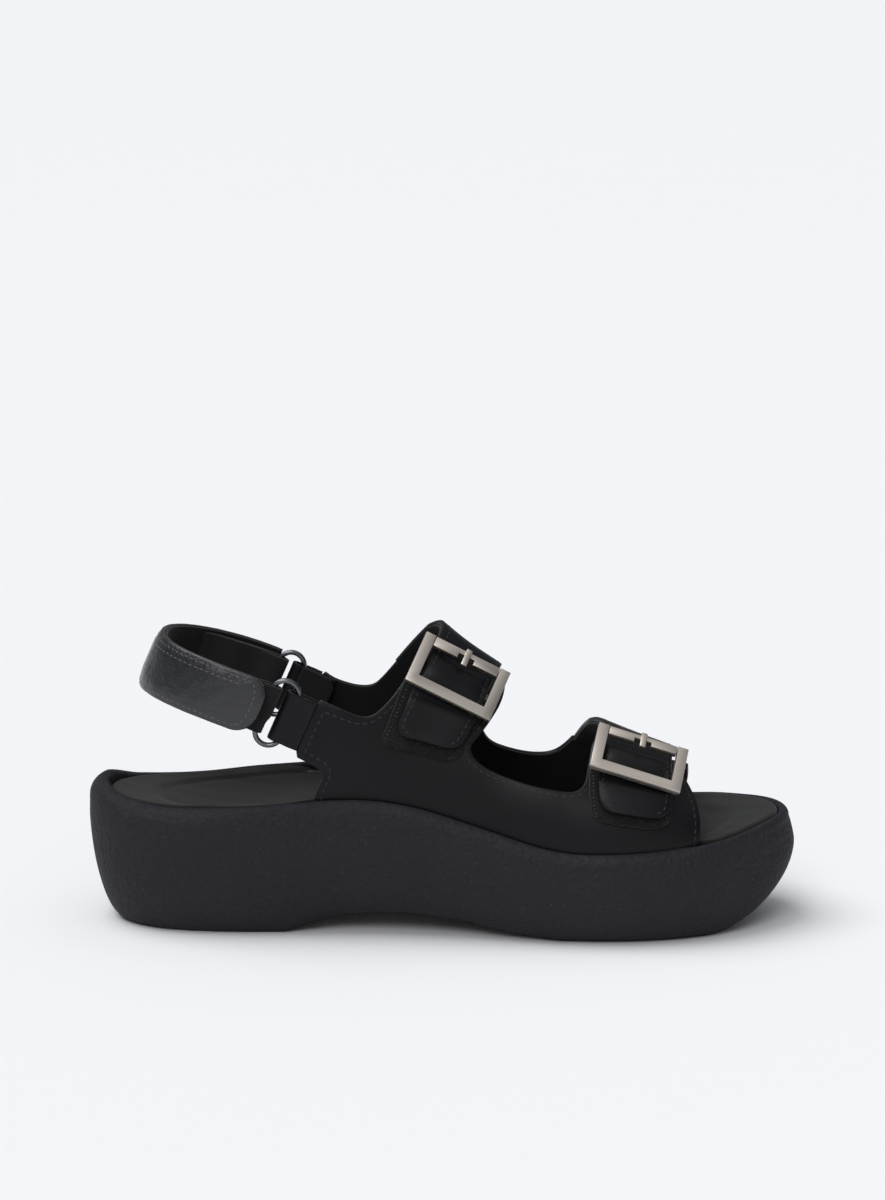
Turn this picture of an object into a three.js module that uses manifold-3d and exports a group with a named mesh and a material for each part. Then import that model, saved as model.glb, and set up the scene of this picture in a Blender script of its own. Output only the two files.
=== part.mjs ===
// Wedge sandal for the right foot, in millimetres: +X towards the toe, +Y towards the inner side of the
// foot, +Z up, with the origin on the ground under the middle of the sole.
import * as THREE from "three";
import { mergeVertices } from "three/addons/utils/BufferGeometryUtils.js";
import Module from "manifold-3d";

const wasm = await Module();
wasm.setup();

// Driving sizes.
const HALF_LENGTH = 132.5;
const GAP = 0.3; // between pieces that touch
const RIM_LIP = 5.5; // how far the rim's crest sits in from the widest line
const TUCK = 9.4; // from the sole's widest line in to the foot's surface
const STRAP_GAUGE = { inner: 5.6, outer: 7.4 }; // leather of a strap, out from the foot's surface
const QUARTER_GAUGE = { inner: 1.3, outer: 2.9 };
const LINING_GAUGE = { inner: 0, outer: 1 };
const LOOP_GAUGE = { inner: 3.2, outer: 4.1 };
const HOOK_GAUGE = { inner: 4.4, outer: 5.3 };
const SPLIT = 132; // degrees round the foot where a strap leaves the far quarter
const BUCKLE = { length: 34.5, width: 21, bar: 4, depth: 3, post: 1.7, proud: 0.8 };
const RING = { length: 27.5, width: 12, wire: 2 };
const RING_AT = new THREE.Vector3(-56.2, 25.2, 81.2); // front bar of a ring, mirrored for the near side
const RING_LEAN = Math.atan2(8.6, 19.7); // how far the rings' bars lean forward at the top
const BAND_WIDTH = 21.5;

const part = new THREE.Group();
const finishes = {
  sole: new THREE.MeshStandardMaterial({ color: 0x303034, roughness: 0.75 }),
  leather: new THREE.MeshStandardMaterial({ color: 0x1d1d20, roughness: 0.4 }),
  crinkled: new THREE.MeshStandardMaterial({ color: 0x2d2f34, roughness: 0.3 }),
  lining: new THREE.MeshStandardMaterial({ color: 0x0f0f10, roughness: 0.8 }),
  footbed: new THREE.MeshStandardMaterial({ color: 0x282928, roughness: 0.9 }),
  pile: new THREE.MeshStandardMaterial({ color: 0x141415, roughness: 1 }),
  board: new THREE.MeshStandardMaterial({ color: 0x8c7355, roughness: 0.9 }),
  foam: new THREE.MeshStandardMaterial({ color: 0x5a5a58, roughness: 0.9 }),
  steel: new THREE.MeshStandardMaterial({ color: 0x9a9a9a, roughness: 0.4, metalness: 1 }),
  nickel: new THREE.MeshStandardMaterial({ color: 0xc8c2b8, roughness: 0.35, metalness: 1 }),
  darkNickel: new THREE.MeshStandardMaterial({ color: 0x6a6e70, roughness: 0.25, metalness: 1 }),
};

// A smooth curve through [x, value] pairs, flat beyond its ends.
function curve(...knots) {
  const slope = (i) => {
    const before = knots[Math.max(i - 1, 0)];
    const after = knots[Math.min(i + 1, knots.length - 1)];
    return (after[1] - before[1]) / (after[0] - before[0]);
  };
  return (x) => {
    const last = knots.length - 1;
    if (x <= knots[0][0]) return knots[0][1];
    if (x >= knots[last][0]) return knots[last][1];
    const i = knots.findIndex((knot) => knot[0] > x) - 1;
    const span = knots[i + 1][0] - knots[i][0];
    const t = (x - knots[i][0]) / span;
    const u = 1 - t;
    const ends = u * u * (1 + 2 * t) * knots[i][1] + t * t * (3 - 2 * t) * knots[i + 1][1];
    return ends + span * t * u * (u * slope(i) - t * slope(i + 1));
  };
}

const clamp01 = (t) => Math.min(Math.max(t, 0), 1);
const smoothstep = (low, high, x) => {
  const t = clamp01((x - low) / (high - low));
  return t * t * (3 - 2 * t);
};
const mix = (a, b, t) => a + (b - a) * t;
const radians = THREE.MathUtils.degToRad;

// Curves of the sole, along its length.
const nearFullness = curve([-132.5, 62], [-110, 54], [-85, 46], [-45, 38.4], [0, 40], [30, 46.2], [70, 55.5], [100, 59.5],
  [132.5, 55]);
const farFullness = curve([-132.5, 62], [-110, 54], [-85, 45], [-45, 36], [0, 36], [30, 43.1], [70, 56], [100, 63],
  [132.5, 69]);
const rimCrest = curve([-127, 53.8], [-116, 49.4], [-95, 47.9], [-35, 52], [-12, 50], [14, 42.7], [41, 35.1],
  [64, 34.2], [101, 37.3], [132.5, 42.3]);
const archRise = curve([-58, 0], [-40, 6.4], [-17, 8.2], [6, 6], [24, 2.5], [42, 0]);
const bedFloor = curve([-128, 40.3], [-95, 38.8], [-47, 41.3], [-23, 41.3], [14, 33.3], [41, 25.8], [64, 24.8],
  [90, 26.8], [128, 32.3]);
const TOE_SPRING = { from: 98, reach: 28, rise: 13 };

const ground = (x) => {
  const spring = Math.max(x - TOE_SPRING.from, 0) / TOE_SPRING.reach;
  return archRise(x) + TOE_SPRING.rise * spring * spring;
};

// Point of the sole's outline, inset from its widest line, for a direction (u, v) on the unit circle.
function outline(u, v, inset) {
  const x = (HALF_LENGTH - inset) * u;
  const fullness = v < 0 ? nearFullness(x) : farFullness(x);
  return [x, v * (fullness - inset)];
}

// Half-width of the sole at x, on the near (-1) or far (+1) side.
function halfWidth(x, side) {
  const u = x / HALF_LENGTH;
  return Math.abs(outline(u, side * Math.sqrt(1 - u * u), 0)[1]);
}

// A closed geometry whose vertices are moved one by one by place(x, y, z), which returns [x, y, z].
function warp(geometry, place) {
  const points = geometry.getAttribute("position");
  for (let i = 0; i < points.count; i++)
    points.setXYZ(i, ...place(points.getX(i), points.getY(i), points.getZ(i)));
  return geometry;
}

// A slab with the sole's rounded outline: level(t, x, r) gives its inset and height, with t from bottom 0
// to top 1, x the place along the sole and r the share of the way out to the edge.
function outlineSlab(level, lengthSteps, widthSteps, heightSteps) {
  return warp(new THREE.BoxGeometry(2, 2, 1, lengthSteps, widthSteps, heightSteps), (a, b, c) => {
    const u = a * Math.sqrt(1 - (b * b) / 2);
    const v = b * Math.sqrt(1 - (a * a) / 2);
    const r = Math.max(Math.hypot(u, v), 1e-9);
    const t = c + 0.5;
    const { inset } = level(t, (HALF_LENGTH * u) / r, r);
    const [x, y] = outline(u / r, v / r, inset);
    return [x * r, y * r, level(t, x * r, r).height];
  });
}

function solidOf(geometry) {
  const bare = geometry.clone();
  bare.deleteAttribute("normal");
  bare.deleteAttribute("uv");
  const merged = mergeVertices(bare, 1e-4);
  return new wasm.Manifold(
    new wasm.Mesh({
      numProp: 3,
      vertProperties: merged.getAttribute("position").array,
      triVerts: new Uint32Array(merged.index.array),
    }),
  );
}

function geometryOf(solid) {
  const mesh = solid.getMesh();
  return new THREE.BufferGeometry()
    .setAttribute("position", new THREE.BufferAttribute(mesh.vertProperties, 3))
    .setIndex(new THREE.BufferAttribute(mesh.triVerts, 1));
}

const cut = (geometry, ...tools) =>
  geometryOf(tools.reduce((left, tool) => left.subtract(solidOf(tool)), solidOf(geometry)));
const common = (geometry, tool) => geometryOf(solidOf(geometry).intersect(solidOf(tool)));
const joined = (...pieces) => geometryOf(pieces.map(solidOf).reduce((sum, piece) => sum.add(piece)));

function add(name, geometry, finish, group = part) {
  const mesh = new THREE.Mesh(geometry, finishes[finish]);
  mesh.name = name;
  group.add(mesh);
  return mesh;
}

// The sole: its wall bulges between a tucked-in tread and a rounded rim.
const wall = {
  height: [0, 0.07, 0.2, 0.42, 0.68, 0.87, 0.96, 1],
  heel: [11, 7.6, 4.5, 1.6, 0, 0, 2, RIM_LIP],
  front: [10, 6.2, 3.4, 1.2, 0, 0.6, 2.4, RIM_LIP],
  tip: [10, 3.6, 0.9, 0, 1, 2.2, 3.6, RIM_LIP],
};
const rimInset = (x) => 4 + 3.2 * smoothstep(-70, -95, x) + 2 * smoothstep(104, 122, x);

function soleBody() {
  const steps = wall.height.length - 1;
  return outlineSlab(
    (t, x) => {
      const i = Math.round(t * steps);
      const side = mix(wall.heel[i], wall.front[i], smoothstep(-60, 60, x));
      const inset = mix(side, wall.tip[i], smoothstep(104, 128, x));
      return { inset, height: mix(ground(x), rimCrest(x), wall.height[i]) };
    },
    22,
    8,
    steps,
  );
}

const RECESS_ABOVE = 20;
const recess = () =>
  outlineSlab((t, x) => ({ inset: rimInset(x), height: bedFloor(x) + RECESS_ABOVE * t }), 20, 6, 1);

// Layers of the footbed lie on the recess floor; their sides leave room for the upper to tuck in.
const bedInset = (x) => mix(rimInset(x) + 2 * GAP, TUCK + 1.2, smoothstep(-88, -66, x) * smoothstep(118, 100, x));
const LAYER_GAP = 0.8; // between the footbed's layers
const BED_DISH = 2.6;
const dish = (r) => BED_DISH * (1 - Math.pow(r, 4));
const bedLayer = (bottom, top) =>
  outlineSlab(
    (t, x, r) => ({
      inset: bedInset(x),
      height: bedFloor(x) + (t < 0.5 ? bottom(r) : top(r)),
    }),
    20,
    6,
    1,
  );
const BOARD_TOP = 2;
const CORE_TOP = 7;
const COVER = 1;

const SHANK = { from: -72, to: 22, half: 7, thick: 1.2 };
const shankStrip = (grow) =>
  warp(new THREE.BoxGeometry(1, 1, 1, 10, 1, 1), (a, b, c) => {
    const x = mix(SHANK.from - grow, SHANK.to + grow, a + 0.5);
    const low = -SHANK.thick - GAP - grow;
    const high = grow > 0 ? 1 : -GAP;
    return [x, 2 * b * (SHANK.half + grow), bedFloor(x) + (c < 0 ? low : high)];
  });

add("wedge_sole", cut(soleBody(), recess(), shankStrip(GAP)), "sole");
add("shank", shankStrip(0), "steel");
add("insole_board", bedLayer(() => LAYER_GAP, () => BOARD_TOP), "board");
add("footbed_core", bedLayer(() => BOARD_TOP + LAYER_GAP, (r) => CORE_TOP - dish(r)), "foam");
add(
  "footbed_cover",
  bedLayer((r) => CORE_TOP + LAYER_GAP - dish(r), (r) => CORE_TOP + LAYER_GAP + COVER - dish(r)),
  "footbed",
);

// The foot's surface: each section runs from a base point inside the rim up to the ridge and down again.
const ridgeX = curve([-76, -34], [-56, -4.4], [-15.2, 21.8], [35.5, 54.8], [77.2, 87.6], [104, 110]);
const ridgeZ = curve([-34, 148], [-4.4, 110], [21.8, 90.2], [54.8, 71.9], [87.6, 58.9], [110, 52]);
const TUCK_CLEAR = 1.3; // from the recess floor up to the lower edge of the upper
const BULGE = 0.2; // how much fuller than an ellipse a section is above its base

function footPoint(base, around) {
  const phi = radians(around);
  const side = around < 90 ? -1 : 1;
  const rise = Math.sin(phi);
  const ridge = ridgeX(base);
  const spread = mix(halfWidth(base, -1), halfWidth(base, 1), smoothstep(0, 180, around)) - TUCK;
  const floor = bedFloor(base) + TUCK_CLEAR;
  return new THREE.Vector3(
    mix(base, ridge, rise),
    side * spread * Math.abs(Math.cos(phi)) * (1 + BULGE * rise),
    mix(floor, ridgeZ(ridge), rise),
  );
}

// Outward direction and the two tangents of the foot's surface.
function footFrame(base, around) {
  const along = footPoint(base + 1, around).sub(footPoint(base - 1, around)).normalize();
  const across = footPoint(base, around + 1).sub(footPoint(base, around - 1)).normalize();
  const out = new THREE.Vector3().crossVectors(along, across).normalize();
  return { at: footPoint(base, around), along, across, out };
}

function offFoot(base, around, offset) {
  const { at, out } = footFrame(base, around);
  return at.addScaledVector(out, offset);
}

// A sheet on the foot's surface. base(s, around), inner(around) and outer(around) shape it.
function sheet({ from, to, low, high, inner, outer, baseSteps, aroundSteps, slim = () => 1, shift = () => 0 }) {
  const middle = (from + to) / 2;
  const half = (to - from) / 2;
  return warp(new THREE.BoxGeometry(2, 1, 1, baseSteps, aroundSteps, 1), (a, b, c) => {
    const around = mix(low, high, b + 0.5);
    const base = middle + shift(around) + a * half * slim(around);
    return offFoot(base, around, c < 0 ? inner(around) : outer(around)).toArray();
  });
}

const CUTTER_DEPTH = 90;

// A prism through one side of the foot, from an outline in side view.
function sideCutter(points, side) {
  const shape = new THREE.Shape(points.map(([x, z]) => new THREE.Vector2(x, z)));
  const prism = new THREE.ExtrudeGeometry(shape, { depth: CUTTER_DEPTH, bevelEnabled: false });
  prism.rotateX(Math.PI / 2);
  return side < 0 ? prism : prism.translate(0, CUTTER_DEPTH, 0);
}

const nearOutline = [
  [-50, 20], [-47.3, 52.5], [-43, 61.5], [-48.5, 64.6], [-54, 68], [-45.3, 88.2], [-27.6, 80.2], [-20, 86.5],
  [-13.4, 94.9], [-10.5, 102], [-4, 106], [13, 96], [20, 90.5], [19.5, 85], [15, 75.6], [9.7, 70.6], [11, 66.3],
  [17.4, 61.7], [31, 57], [47.3, 53.9], [51.9, 55.9], [53.7, 63.9], [56, 71], [80, 62], [86.8, 57.6], [91.9, 51],
  [94, 44], [93.2, 37], [92.5, 20],
];
const farOutline = [
  [-50, 20], [-47.3, 52.5], [-43, 61.5], [-48.5, 64.6], [-54, 68], [-45.3, 88.2], [-40.6, 84.5], [-32.8, 82.2],
  [-27.2, 82.3], [-24.1, 84.5], [-15.6, 95.3], [-9, 107], [-2, 120], [30, 96], [21, 82], [14, 70], [17, 61.5],
  [26.4, 57.2], [35.5, 54.9], [41.9, 55.3], [46.4, 61], [52, 70], [54, 84], [94, 70], [90, 59], [93.3, 51.8],
  [94.6, 44], [93.2, 37], [92.5, 20],
];

const constant = (value) => () => value;
const quarterSheet = (side, gauge) =>
  sheet({
    from: -76,
    to: 104,
    low: side < 0 ? 0 : SPLIT + 0.6,
    high: side < 0 ? 84 : 180,
    inner: constant(gauge.inner),
    outer: constant(gauge.outer),
    baseSteps: 22,
    aroundSteps: side < 0 ? 9 : 6,
  });

// An outline for a lining, drawn in a little from the leather's own edge at the ring end.
for (const [name, side, points] of [
  ["lateral", -1, nearOutline],
  ["medial", 1, farOutline],
]) {
  const leather = common(quarterSheet(side, QUARTER_GAUGE), sideCutter(points, side));
  const lining = common(quarterSheet(side, LINING_GAUGE), sideCutter(points, side));
  add(name + "_quarter", leather, "leather");
  add(name + "_lining", lining, "lining");
}

// Straps: wide where they leave the far quarter, narrow through the buckle and at the loose end.
const straps = {
  instep: {
    from: -56.5, to: -17.3, end: 33,
    slim: curve([33, 0.78], [48, 0.87], [76, 0.87], [106, 1]),
    settle: curve([33, 6.6], [50, 3.1], [60, 1.1], [72, -0.3], [95, 0]),
    buckle: { base: -37.2, around: 60, twist: 2.5, tilt: 2 },
  },
  forefoot: {
    from: 36, to: 76.7, end: 31.5,
    slim: curve([31, 0.66], [46, 0.71], [76, 0.71], [106, 1]),
    settle: curve([31, 5.6], [48, 2.3], [57, 1.3], [95, 0]),
    buckle: { base: 57.7, around: 58, twist: 0, tilt: 5 },
  },
};
const lift = (quarter, raised) => (around) => mix(raised, quarter, smoothstep(72, 112, around));

function strapLayer(strap, gauge, quarterGauge, low, high, trim, steps) {
  return sheet({
    from: strap.from,
    to: strap.to,
    low,
    high,
    inner: lift(quarterGauge.inner, gauge.inner),
    outer: lift(quarterGauge.outer, gauge.outer),
    baseSteps: 4,
    aroundSteps: steps,
    slim: (around) => strap.slim(around) * trim,
    shift: strap.settle,
  });
}

const PATCH = { above: 53, below: 4, wider: 1.1 };
const STRAP_LINING = { inner: 4.4, outer: 5.3 };
for (const [name, strap] of Object.entries(straps)) {
  const leather = strapLayer(strap, STRAP_GAUGE, QUARTER_GAUGE, strap.end, SPLIT, 1, 15);
  const lining = strapLayer(strap, STRAP_LINING, LINING_GAUGE, 76, SPLIT, 0.97, 9);
  const hooks = strapLayer(strap, HOOK_GAUGE, HOOK_GAUGE, strap.end + 1, 46, 0.95, 3);
  const loops = strapLayer(strap, LOOP_GAUGE, LOOP_GAUGE, strap.end - PATCH.below, PATCH.above, PATCH.wider, 4);
  add(name + "_strap", leather, "leather");
  add(name + "_strap_lining", lining, "lining");
  add(name + "_hook_patch", hooks, "pile");
  add(name + "_loop_patch", loops, "pile");
}

// Buckles: a flat frame over the strap, a hidden centre bar under it, a round top bar and a short prong.
const PRONG = { width: 2.2, eye: 2.4, reach: 4.6 };
const BAR_RADIUS = 1.3;
function buckle(name, strap) {
  const group = new THREE.Group();
  const { base, around, twist, tilt } = strap.buckle;
  const { along, out } = footFrame(base, around);
  const up = new THREE.Vector3().crossVectors(out, along).normalize();
  group.quaternion.setFromRotationMatrix(new THREE.Matrix4().makeBasis(along, up, out));
  group.rotateZ(radians(twist)).rotateX(radians(tilt));
  group.position.copy(offFoot(base, around, STRAP_GAUGE.outer + BUCKLE.proud));
  part.add(group);

  const box = (w, h, d, x, y, z) => new THREE.BoxGeometry(w, h, d).translate(x, y, z);
  const { length, width, bar, depth, post } = BUCKLE;
  const legX = (length - bar) / 2;
  const innerX = length / 2 - bar;
  const dip = STRAP_GAUGE.outer + BUCKLE.proud - 3.9;
  const legs = [-1, 1].map((s) => box(bar, width, depth, s * legX, 0, depth / 2));
  const posts = [-1, 1].map((s) => box(post, 3, dip + 1, s * (innerX + post / 2 + 0.2), 0, (1 - dip) / 2));
  const bottom = box(length - bar, bar, depth, 0, bar / 2 - width / 2, depth / 2);
  const centre = box(2 * innerX + post, 2.6, 1.3, 0, 0, 0.65 - dip);
  add(name + "_buckle_frame", joined(...legs, bottom, ...posts, centre), "nickel", group);

  const barY = width / 2 - BAR_RADIUS - 0.3;
  const barZ = depth / 2;
  const rod = new THREE.CylinderGeometry(BAR_RADIUS, BAR_RADIUS, 2 * innerX - 2 * GAP, 12);
  add(name + "_buckle_bar", rod.rotateZ(Math.PI / 2).translate(0, barY, barZ), "nickel", group);

  const hole = new THREE.CylinderGeometry(BAR_RADIUS + GAP, BAR_RADIUS + GAP, PRONG.width + 2, 12);
  const eye = new THREE.CylinderGeometry(PRONG.eye, PRONG.eye, PRONG.width, 12);
  const tongue = box(PRONG.width, PRONG.reach, 1.4, 0, -PRONG.reach / 2 - 1, 1.2);
  const prong = geometryOf(solidOf(joined(eye.rotateZ(Math.PI / 2), tongue)).subtract(solidOf(hole.rotateZ(Math.PI / 2))));
  const mesh = add(name + "_buckle_prong", prong, "nickel", group);
  mesh.position.set(0, barY, barZ);
}
for (const [name, strap] of Object.entries(straps)) buckle(name, strap);

// The rings and the heel strap share a frame that leans forward at the top: X back along the strap,
// Y out towards the near side, Z up along the rings' bars.
const heel = new THREE.Group();
const back = new THREE.Vector3(-Math.cos(RING_LEAN), 0, Math.sin(RING_LEAN));
const rise = new THREE.Vector3(Math.sin(RING_LEAN), 0, Math.cos(RING_LEAN));
heel.quaternion.setFromRotationMatrix(new THREE.Matrix4().makeBasis(back, new THREE.Vector3(0, -1, 0), rise));
heel.position.set(RING_AT.x, 0, RING_AT.z);
part.add(heel);

// How far the heel strap hangs below that frame's level, by the distance back.
const DROOP = { from: 12, reach: 44, depth: 4.2 };
const droop = (x) => DROOP.depth * Math.pow(clamp01((x - DROOP.from) / DROOP.reach), 1.5);

// A flat outline in that frame, drawn up by the piece's width.
function upright(points, width) {
  const shape = new THREE.Shape(points.map(([x, y]) => new THREE.Vector2(x, y)));
  const body = new THREE.ExtrudeGeometry(shape, { depth: width, bevelEnabled: false });
  return warp(body.translate(0, 0, -width / 2), (x, y, z) => [x, y, z - droop(x)]);
}

// A half turn of points round (at, 0), on the side that way points to.
function halfTurn(at, way, radius, steps = 8) {
  return Array.from({ length: steps + 1 }, (_, i) => {
    const turn = (Math.PI * i) / steps;
    return [at + way * radius * Math.sin(turn), radius * Math.cos(turn)];
  });
}

const RING_BARS = RING.width - RING.wire; // between the centres of a ring's two long bars
const LOOP = { radius: 1.45, gauge: 1.3, slack: 2.1, width: 19.5, inner: 8, outer: 6.4 };
const TAB = { radius: 1.4, gauge: 1.3, width: 19, turn: 0.15 };

class Racetrack extends THREE.Curve {
  getPoint(t) {
    const round = RING_BARS / 2;
    const straight = RING.length - RING.wire - RING_BARS;
    const lap = 2 * straight + 2 * Math.PI * round;
    const way = t < 0.5 ? 1 : -1; // up the rear bar and over the top, then down and under
    const run = (t < 0.5 ? t : t - 0.5) * lap;
    if (run < straight) return new THREE.Vector3(way * round, 0, way * (run - straight / 2));
    const turn = (run - straight) / round;
    return new THREE.Vector3(way * round * Math.cos(turn), 0, way * (straight / 2 + round * Math.sin(turn)));
  }
}

// The heel strap goes round the heel as half an oval, measured from its lining's inner face.
const HEEL_OVAL = { start: 10, depth: 43, half: 29.9, square: 0.86 };
const FLAP_TURN = 0.17 * Math.PI; // how far round the near side the loose end reaches
function bandPoint(turn, offset) {
  const bend = (v) => Math.sign(v) * Math.pow(Math.abs(v), HEEL_OVAL.square);
  return [
    HEEL_OVAL.start + (HEEL_OVAL.depth + offset) * bend(Math.sin(turn)),
    (HEEL_OVAL.half + offset) * bend(Math.cos(turn)),
  ];
}
const bandRun = (fromTurn, toTurn, offset, steps) =>
  Array.from({ length: steps + 1 }, (_, i) => {
    const t = i / steps;
    return bandPoint(mix(fromTurn, toTurn, t), typeof offset === "function" ? offset(t) : offset);
  });
const bandPiece = (fromTurn, toTurn, inner, outer, steps) => [
  ...bandRun(fromTurn, toTurn, outer, steps),
  ...bandRun(toTurn, fromTurn, inner, steps),
];

// Leather folded round a ring's front bar, in the ring's own frame.
function loopOutline() {
  const { radius, gauge, slack, inner, outer } = LOOP;
  return [
    [-outer, radius + gauge],
    ...halfTurn(slack, 1, radius + gauge),
    [-inner, -radius - gauge],
    [-inner, -radius],
    ...halfTurn(slack, 1, radius).reverse(),
    [-outer, radius],
  ];
}

// A strip folded round a ring's rear bar; its two legs close up and follow the heel strap.
function tabOutline() {
  const { radius, gauge, turn } = TAB;
  const end = turn * Math.PI;
  const level = RING_AT.y - HEEL_OVAL.half; // the bar's line, as an offset of the heel strap
  const shut = (open, closed) => (t) => level + mix(open, closed, smoothstep(0, 0.35, t));
  const reverse = (offset) => (t) => offset(1 - t);
  const bar = RING_BARS;
  const round = (r) => halfTurn(bar, -1, r).map(([x, y]) => [x, RING_AT.y + y]);
  const steps = 8;
  return [
    ...bandRun(end, 0, level + radius + gauge, steps),
    ...round(radius + gauge),
    ...bandRun(0, end, shut(-radius - gauge, radius - GAP - gauge), steps),
    ...bandRun(end, 0, reverse(shut(-radius, radius - GAP)), steps),
    ...round(radius).reverse(),
    ...bandRun(0, end, level + radius, steps),
  ];
}

for (const [name, side] of [["lateral", 1], ["medial", -1]]) {
  const facing = (points) => (side > 0 ? points : points.map(([x, y]) => [x, -y]).reverse());
  const shifted = loopOutline().map(([x, y]) => [x, y + RING_AT.y]);
  const ring = new THREE.TubeGeometry(new Racetrack(), 40, RING.wire / 2, 8, true);
  add(name + "_ring", ring.translate(RING_BARS / 2, side * RING_AT.y, 0), "darkNickel", heel);
  add(name + "_ring_loop", upright(facing(shifted), LOOP.width), "leather", heel);
  add(name + "_ring_tab", upright(facing(tabOutline()), TAB.width), "leather", heel);
}

const LOOSE_END = { from: 0.015, gap: 0.012 };
const looseEnd = (inner, outer, toTurn, steps, width) =>
  upright(bandPiece(LOOSE_END.from, toTurn, inner, outer, steps), width);
const band = upright(bandPiece(FLAP_TURN + LOOSE_END.gap, Math.PI, 1.3, 2.9, 26), BAND_WIDTH);
const bandLining = upright(bandPiece(FLAP_TURN + 0.03, Math.PI - 0.02, 0, 1, 24), BAND_WIDTH - 1);
add("heel_strap", band, "crinkled", heel);
add("heel_strap_lining", bandLining, "lining", heel);
add("heel_flap", looseEnd(1.3, 2.9, FLAP_TURN, 10, BAND_WIDTH), "crinkled", heel);
add("heel_hook_patch", looseEnd(0.2, 1, 0.4, 8, BAND_WIDTH - 3), "pile", heel);
add("heel_loop_patch", looseEnd(-1, -0.1, 0.42, 8, BAND_WIDTH - 3), "pile", heel);

export default part;
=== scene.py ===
"""Dresses a right-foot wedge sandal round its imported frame.

Sizes are in millimetres in the sandal's own frame: +X towards the toe, +Y towards the inner side of the
foot, +Z up. Meshes are scaled to metres when they are finished.
"""

import logging
import math
import random
from collections.abc import Callable, Sequence
from dataclasses import dataclass
from enum import Enum

import bmesh
import bpy
import numpy as np
from mathutils import Matrix, Vector


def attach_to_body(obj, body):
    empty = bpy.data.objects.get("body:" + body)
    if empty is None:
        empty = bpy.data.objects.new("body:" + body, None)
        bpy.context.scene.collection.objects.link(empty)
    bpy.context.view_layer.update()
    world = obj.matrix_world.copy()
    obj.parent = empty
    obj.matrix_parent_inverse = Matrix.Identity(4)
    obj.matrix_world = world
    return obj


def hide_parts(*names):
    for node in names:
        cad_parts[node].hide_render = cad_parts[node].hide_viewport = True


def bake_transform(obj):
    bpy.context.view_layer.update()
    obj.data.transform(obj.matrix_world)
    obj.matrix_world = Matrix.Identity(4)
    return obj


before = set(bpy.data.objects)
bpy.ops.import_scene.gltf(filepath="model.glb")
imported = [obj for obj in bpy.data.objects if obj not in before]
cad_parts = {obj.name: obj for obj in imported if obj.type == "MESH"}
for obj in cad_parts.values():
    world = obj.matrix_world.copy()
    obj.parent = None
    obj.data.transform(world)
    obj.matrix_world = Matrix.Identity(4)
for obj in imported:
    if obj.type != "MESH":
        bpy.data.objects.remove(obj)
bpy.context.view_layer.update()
MM = 0.001
LOG = logging.getLogger("sandal")

Point = tuple[float, float]
Layered = Callable[[float, float, float], Vector]


class Side(Enum):
    """The two sides of a right sandal, by the sign of their Y."""

    NEAR = -1
    FAR = 1


# ---------------------------------------------------------------- curves and small helpers


def clamp(value: float, low: float = 0.0, high: float = 1.0) -> float:
    """Returns value kept between low and high."""
    return min(max(value, low), high)


def mix(a: float, b: float, t: float) -> float:
    """Returns the value a share t of the way from a to b."""
    return a + (b - a) * t


def smoothstep(low: float, high: float, value: float) -> float:
    """Returns 0 at low, 1 at high and a smooth ramp between, in either direction."""
    t = clamp((value - low) / (high - low))
    return t * t * (3 - 2 * t)


def signed_power(value: float, power: float) -> float:
    """Returns the size of a value raised to a power, with the value's own sign."""
    return math.copysign(abs(value) ** power, value)


def corner_loss(corner: float, away: float) -> float:
    """Returns how much a rounded corner takes off a side at a distance from the end, up to the corner."""
    return corner - math.sqrt(max(corner**2 - (corner - away) ** 2, 0))


@dataclass(frozen=True)
class Curve:
    """A smooth value along one direction through a few knots, flat beyond its ends."""

    knots: tuple[Point, ...]

    def _slope(self, i: int) -> float:
        """Returns the curve's slope at knot i."""
        before = self.knots[max(i - 1, 0)]
        after = self.knots[min(i + 1, len(self.knots) - 1)]
        return (after[1] - before[1]) / (after[0] - before[0])

    def __call__(self, x: float) -> float:
        """Returns the value at x."""
        if x <= self.knots[0][0]:
            return self.knots[0][1]
        if x >= self.knots[-1][0]:
            return self.knots[-1][1]
        i = next(k for k, knot in enumerate(self.knots) if knot[0] > x) - 1
        (x0, y0), (x1, y1) = self.knots[i], self.knots[i + 1]
        span = x1 - x0
        t = (x - x0) / span
        u = 1 - t
        ends = u * u * (1 + 2 * t) * y0 + t * t * (3 - 2 * t) * y1
        return ends + span * t * u * (u * self._slope(i) - t * self._slope(i + 1))


def rounded(corners: Sequence[Sequence[float]], radius: float, steps: int = 5) -> list[Point]:
    """Rounds the corners of a closed outline.

    Args:
        corners: The outline's corners in order; a third value is that corner's own radius.
        radius: How far back from any other corner its rounding starts.
        steps: Points added at each corner.

    Returns:
        The rounded outline's points.
    """
    points: list[Point] = []
    count = len(corners)
    for i, corner in enumerate(corners):
        here = Vector(corner[:2])
        before = Vector(corners[i - 1][:2]) - here
        after = Vector(corners[(i + 1) % count][:2]) - here
        reach = corner[2] if len(corner) > 2 else radius
        start = here + before * min(reach / before.length, 0.5)
        end = here + after * min(reach / after.length, 0.5)
        for k in range(steps + 1):
            t = k / steps
            bend = start * (1 - t) ** 2 + here * (2 * t * (1 - t)) + end * t * t
            points.append((bend.x, bend.y))
    return points


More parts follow.
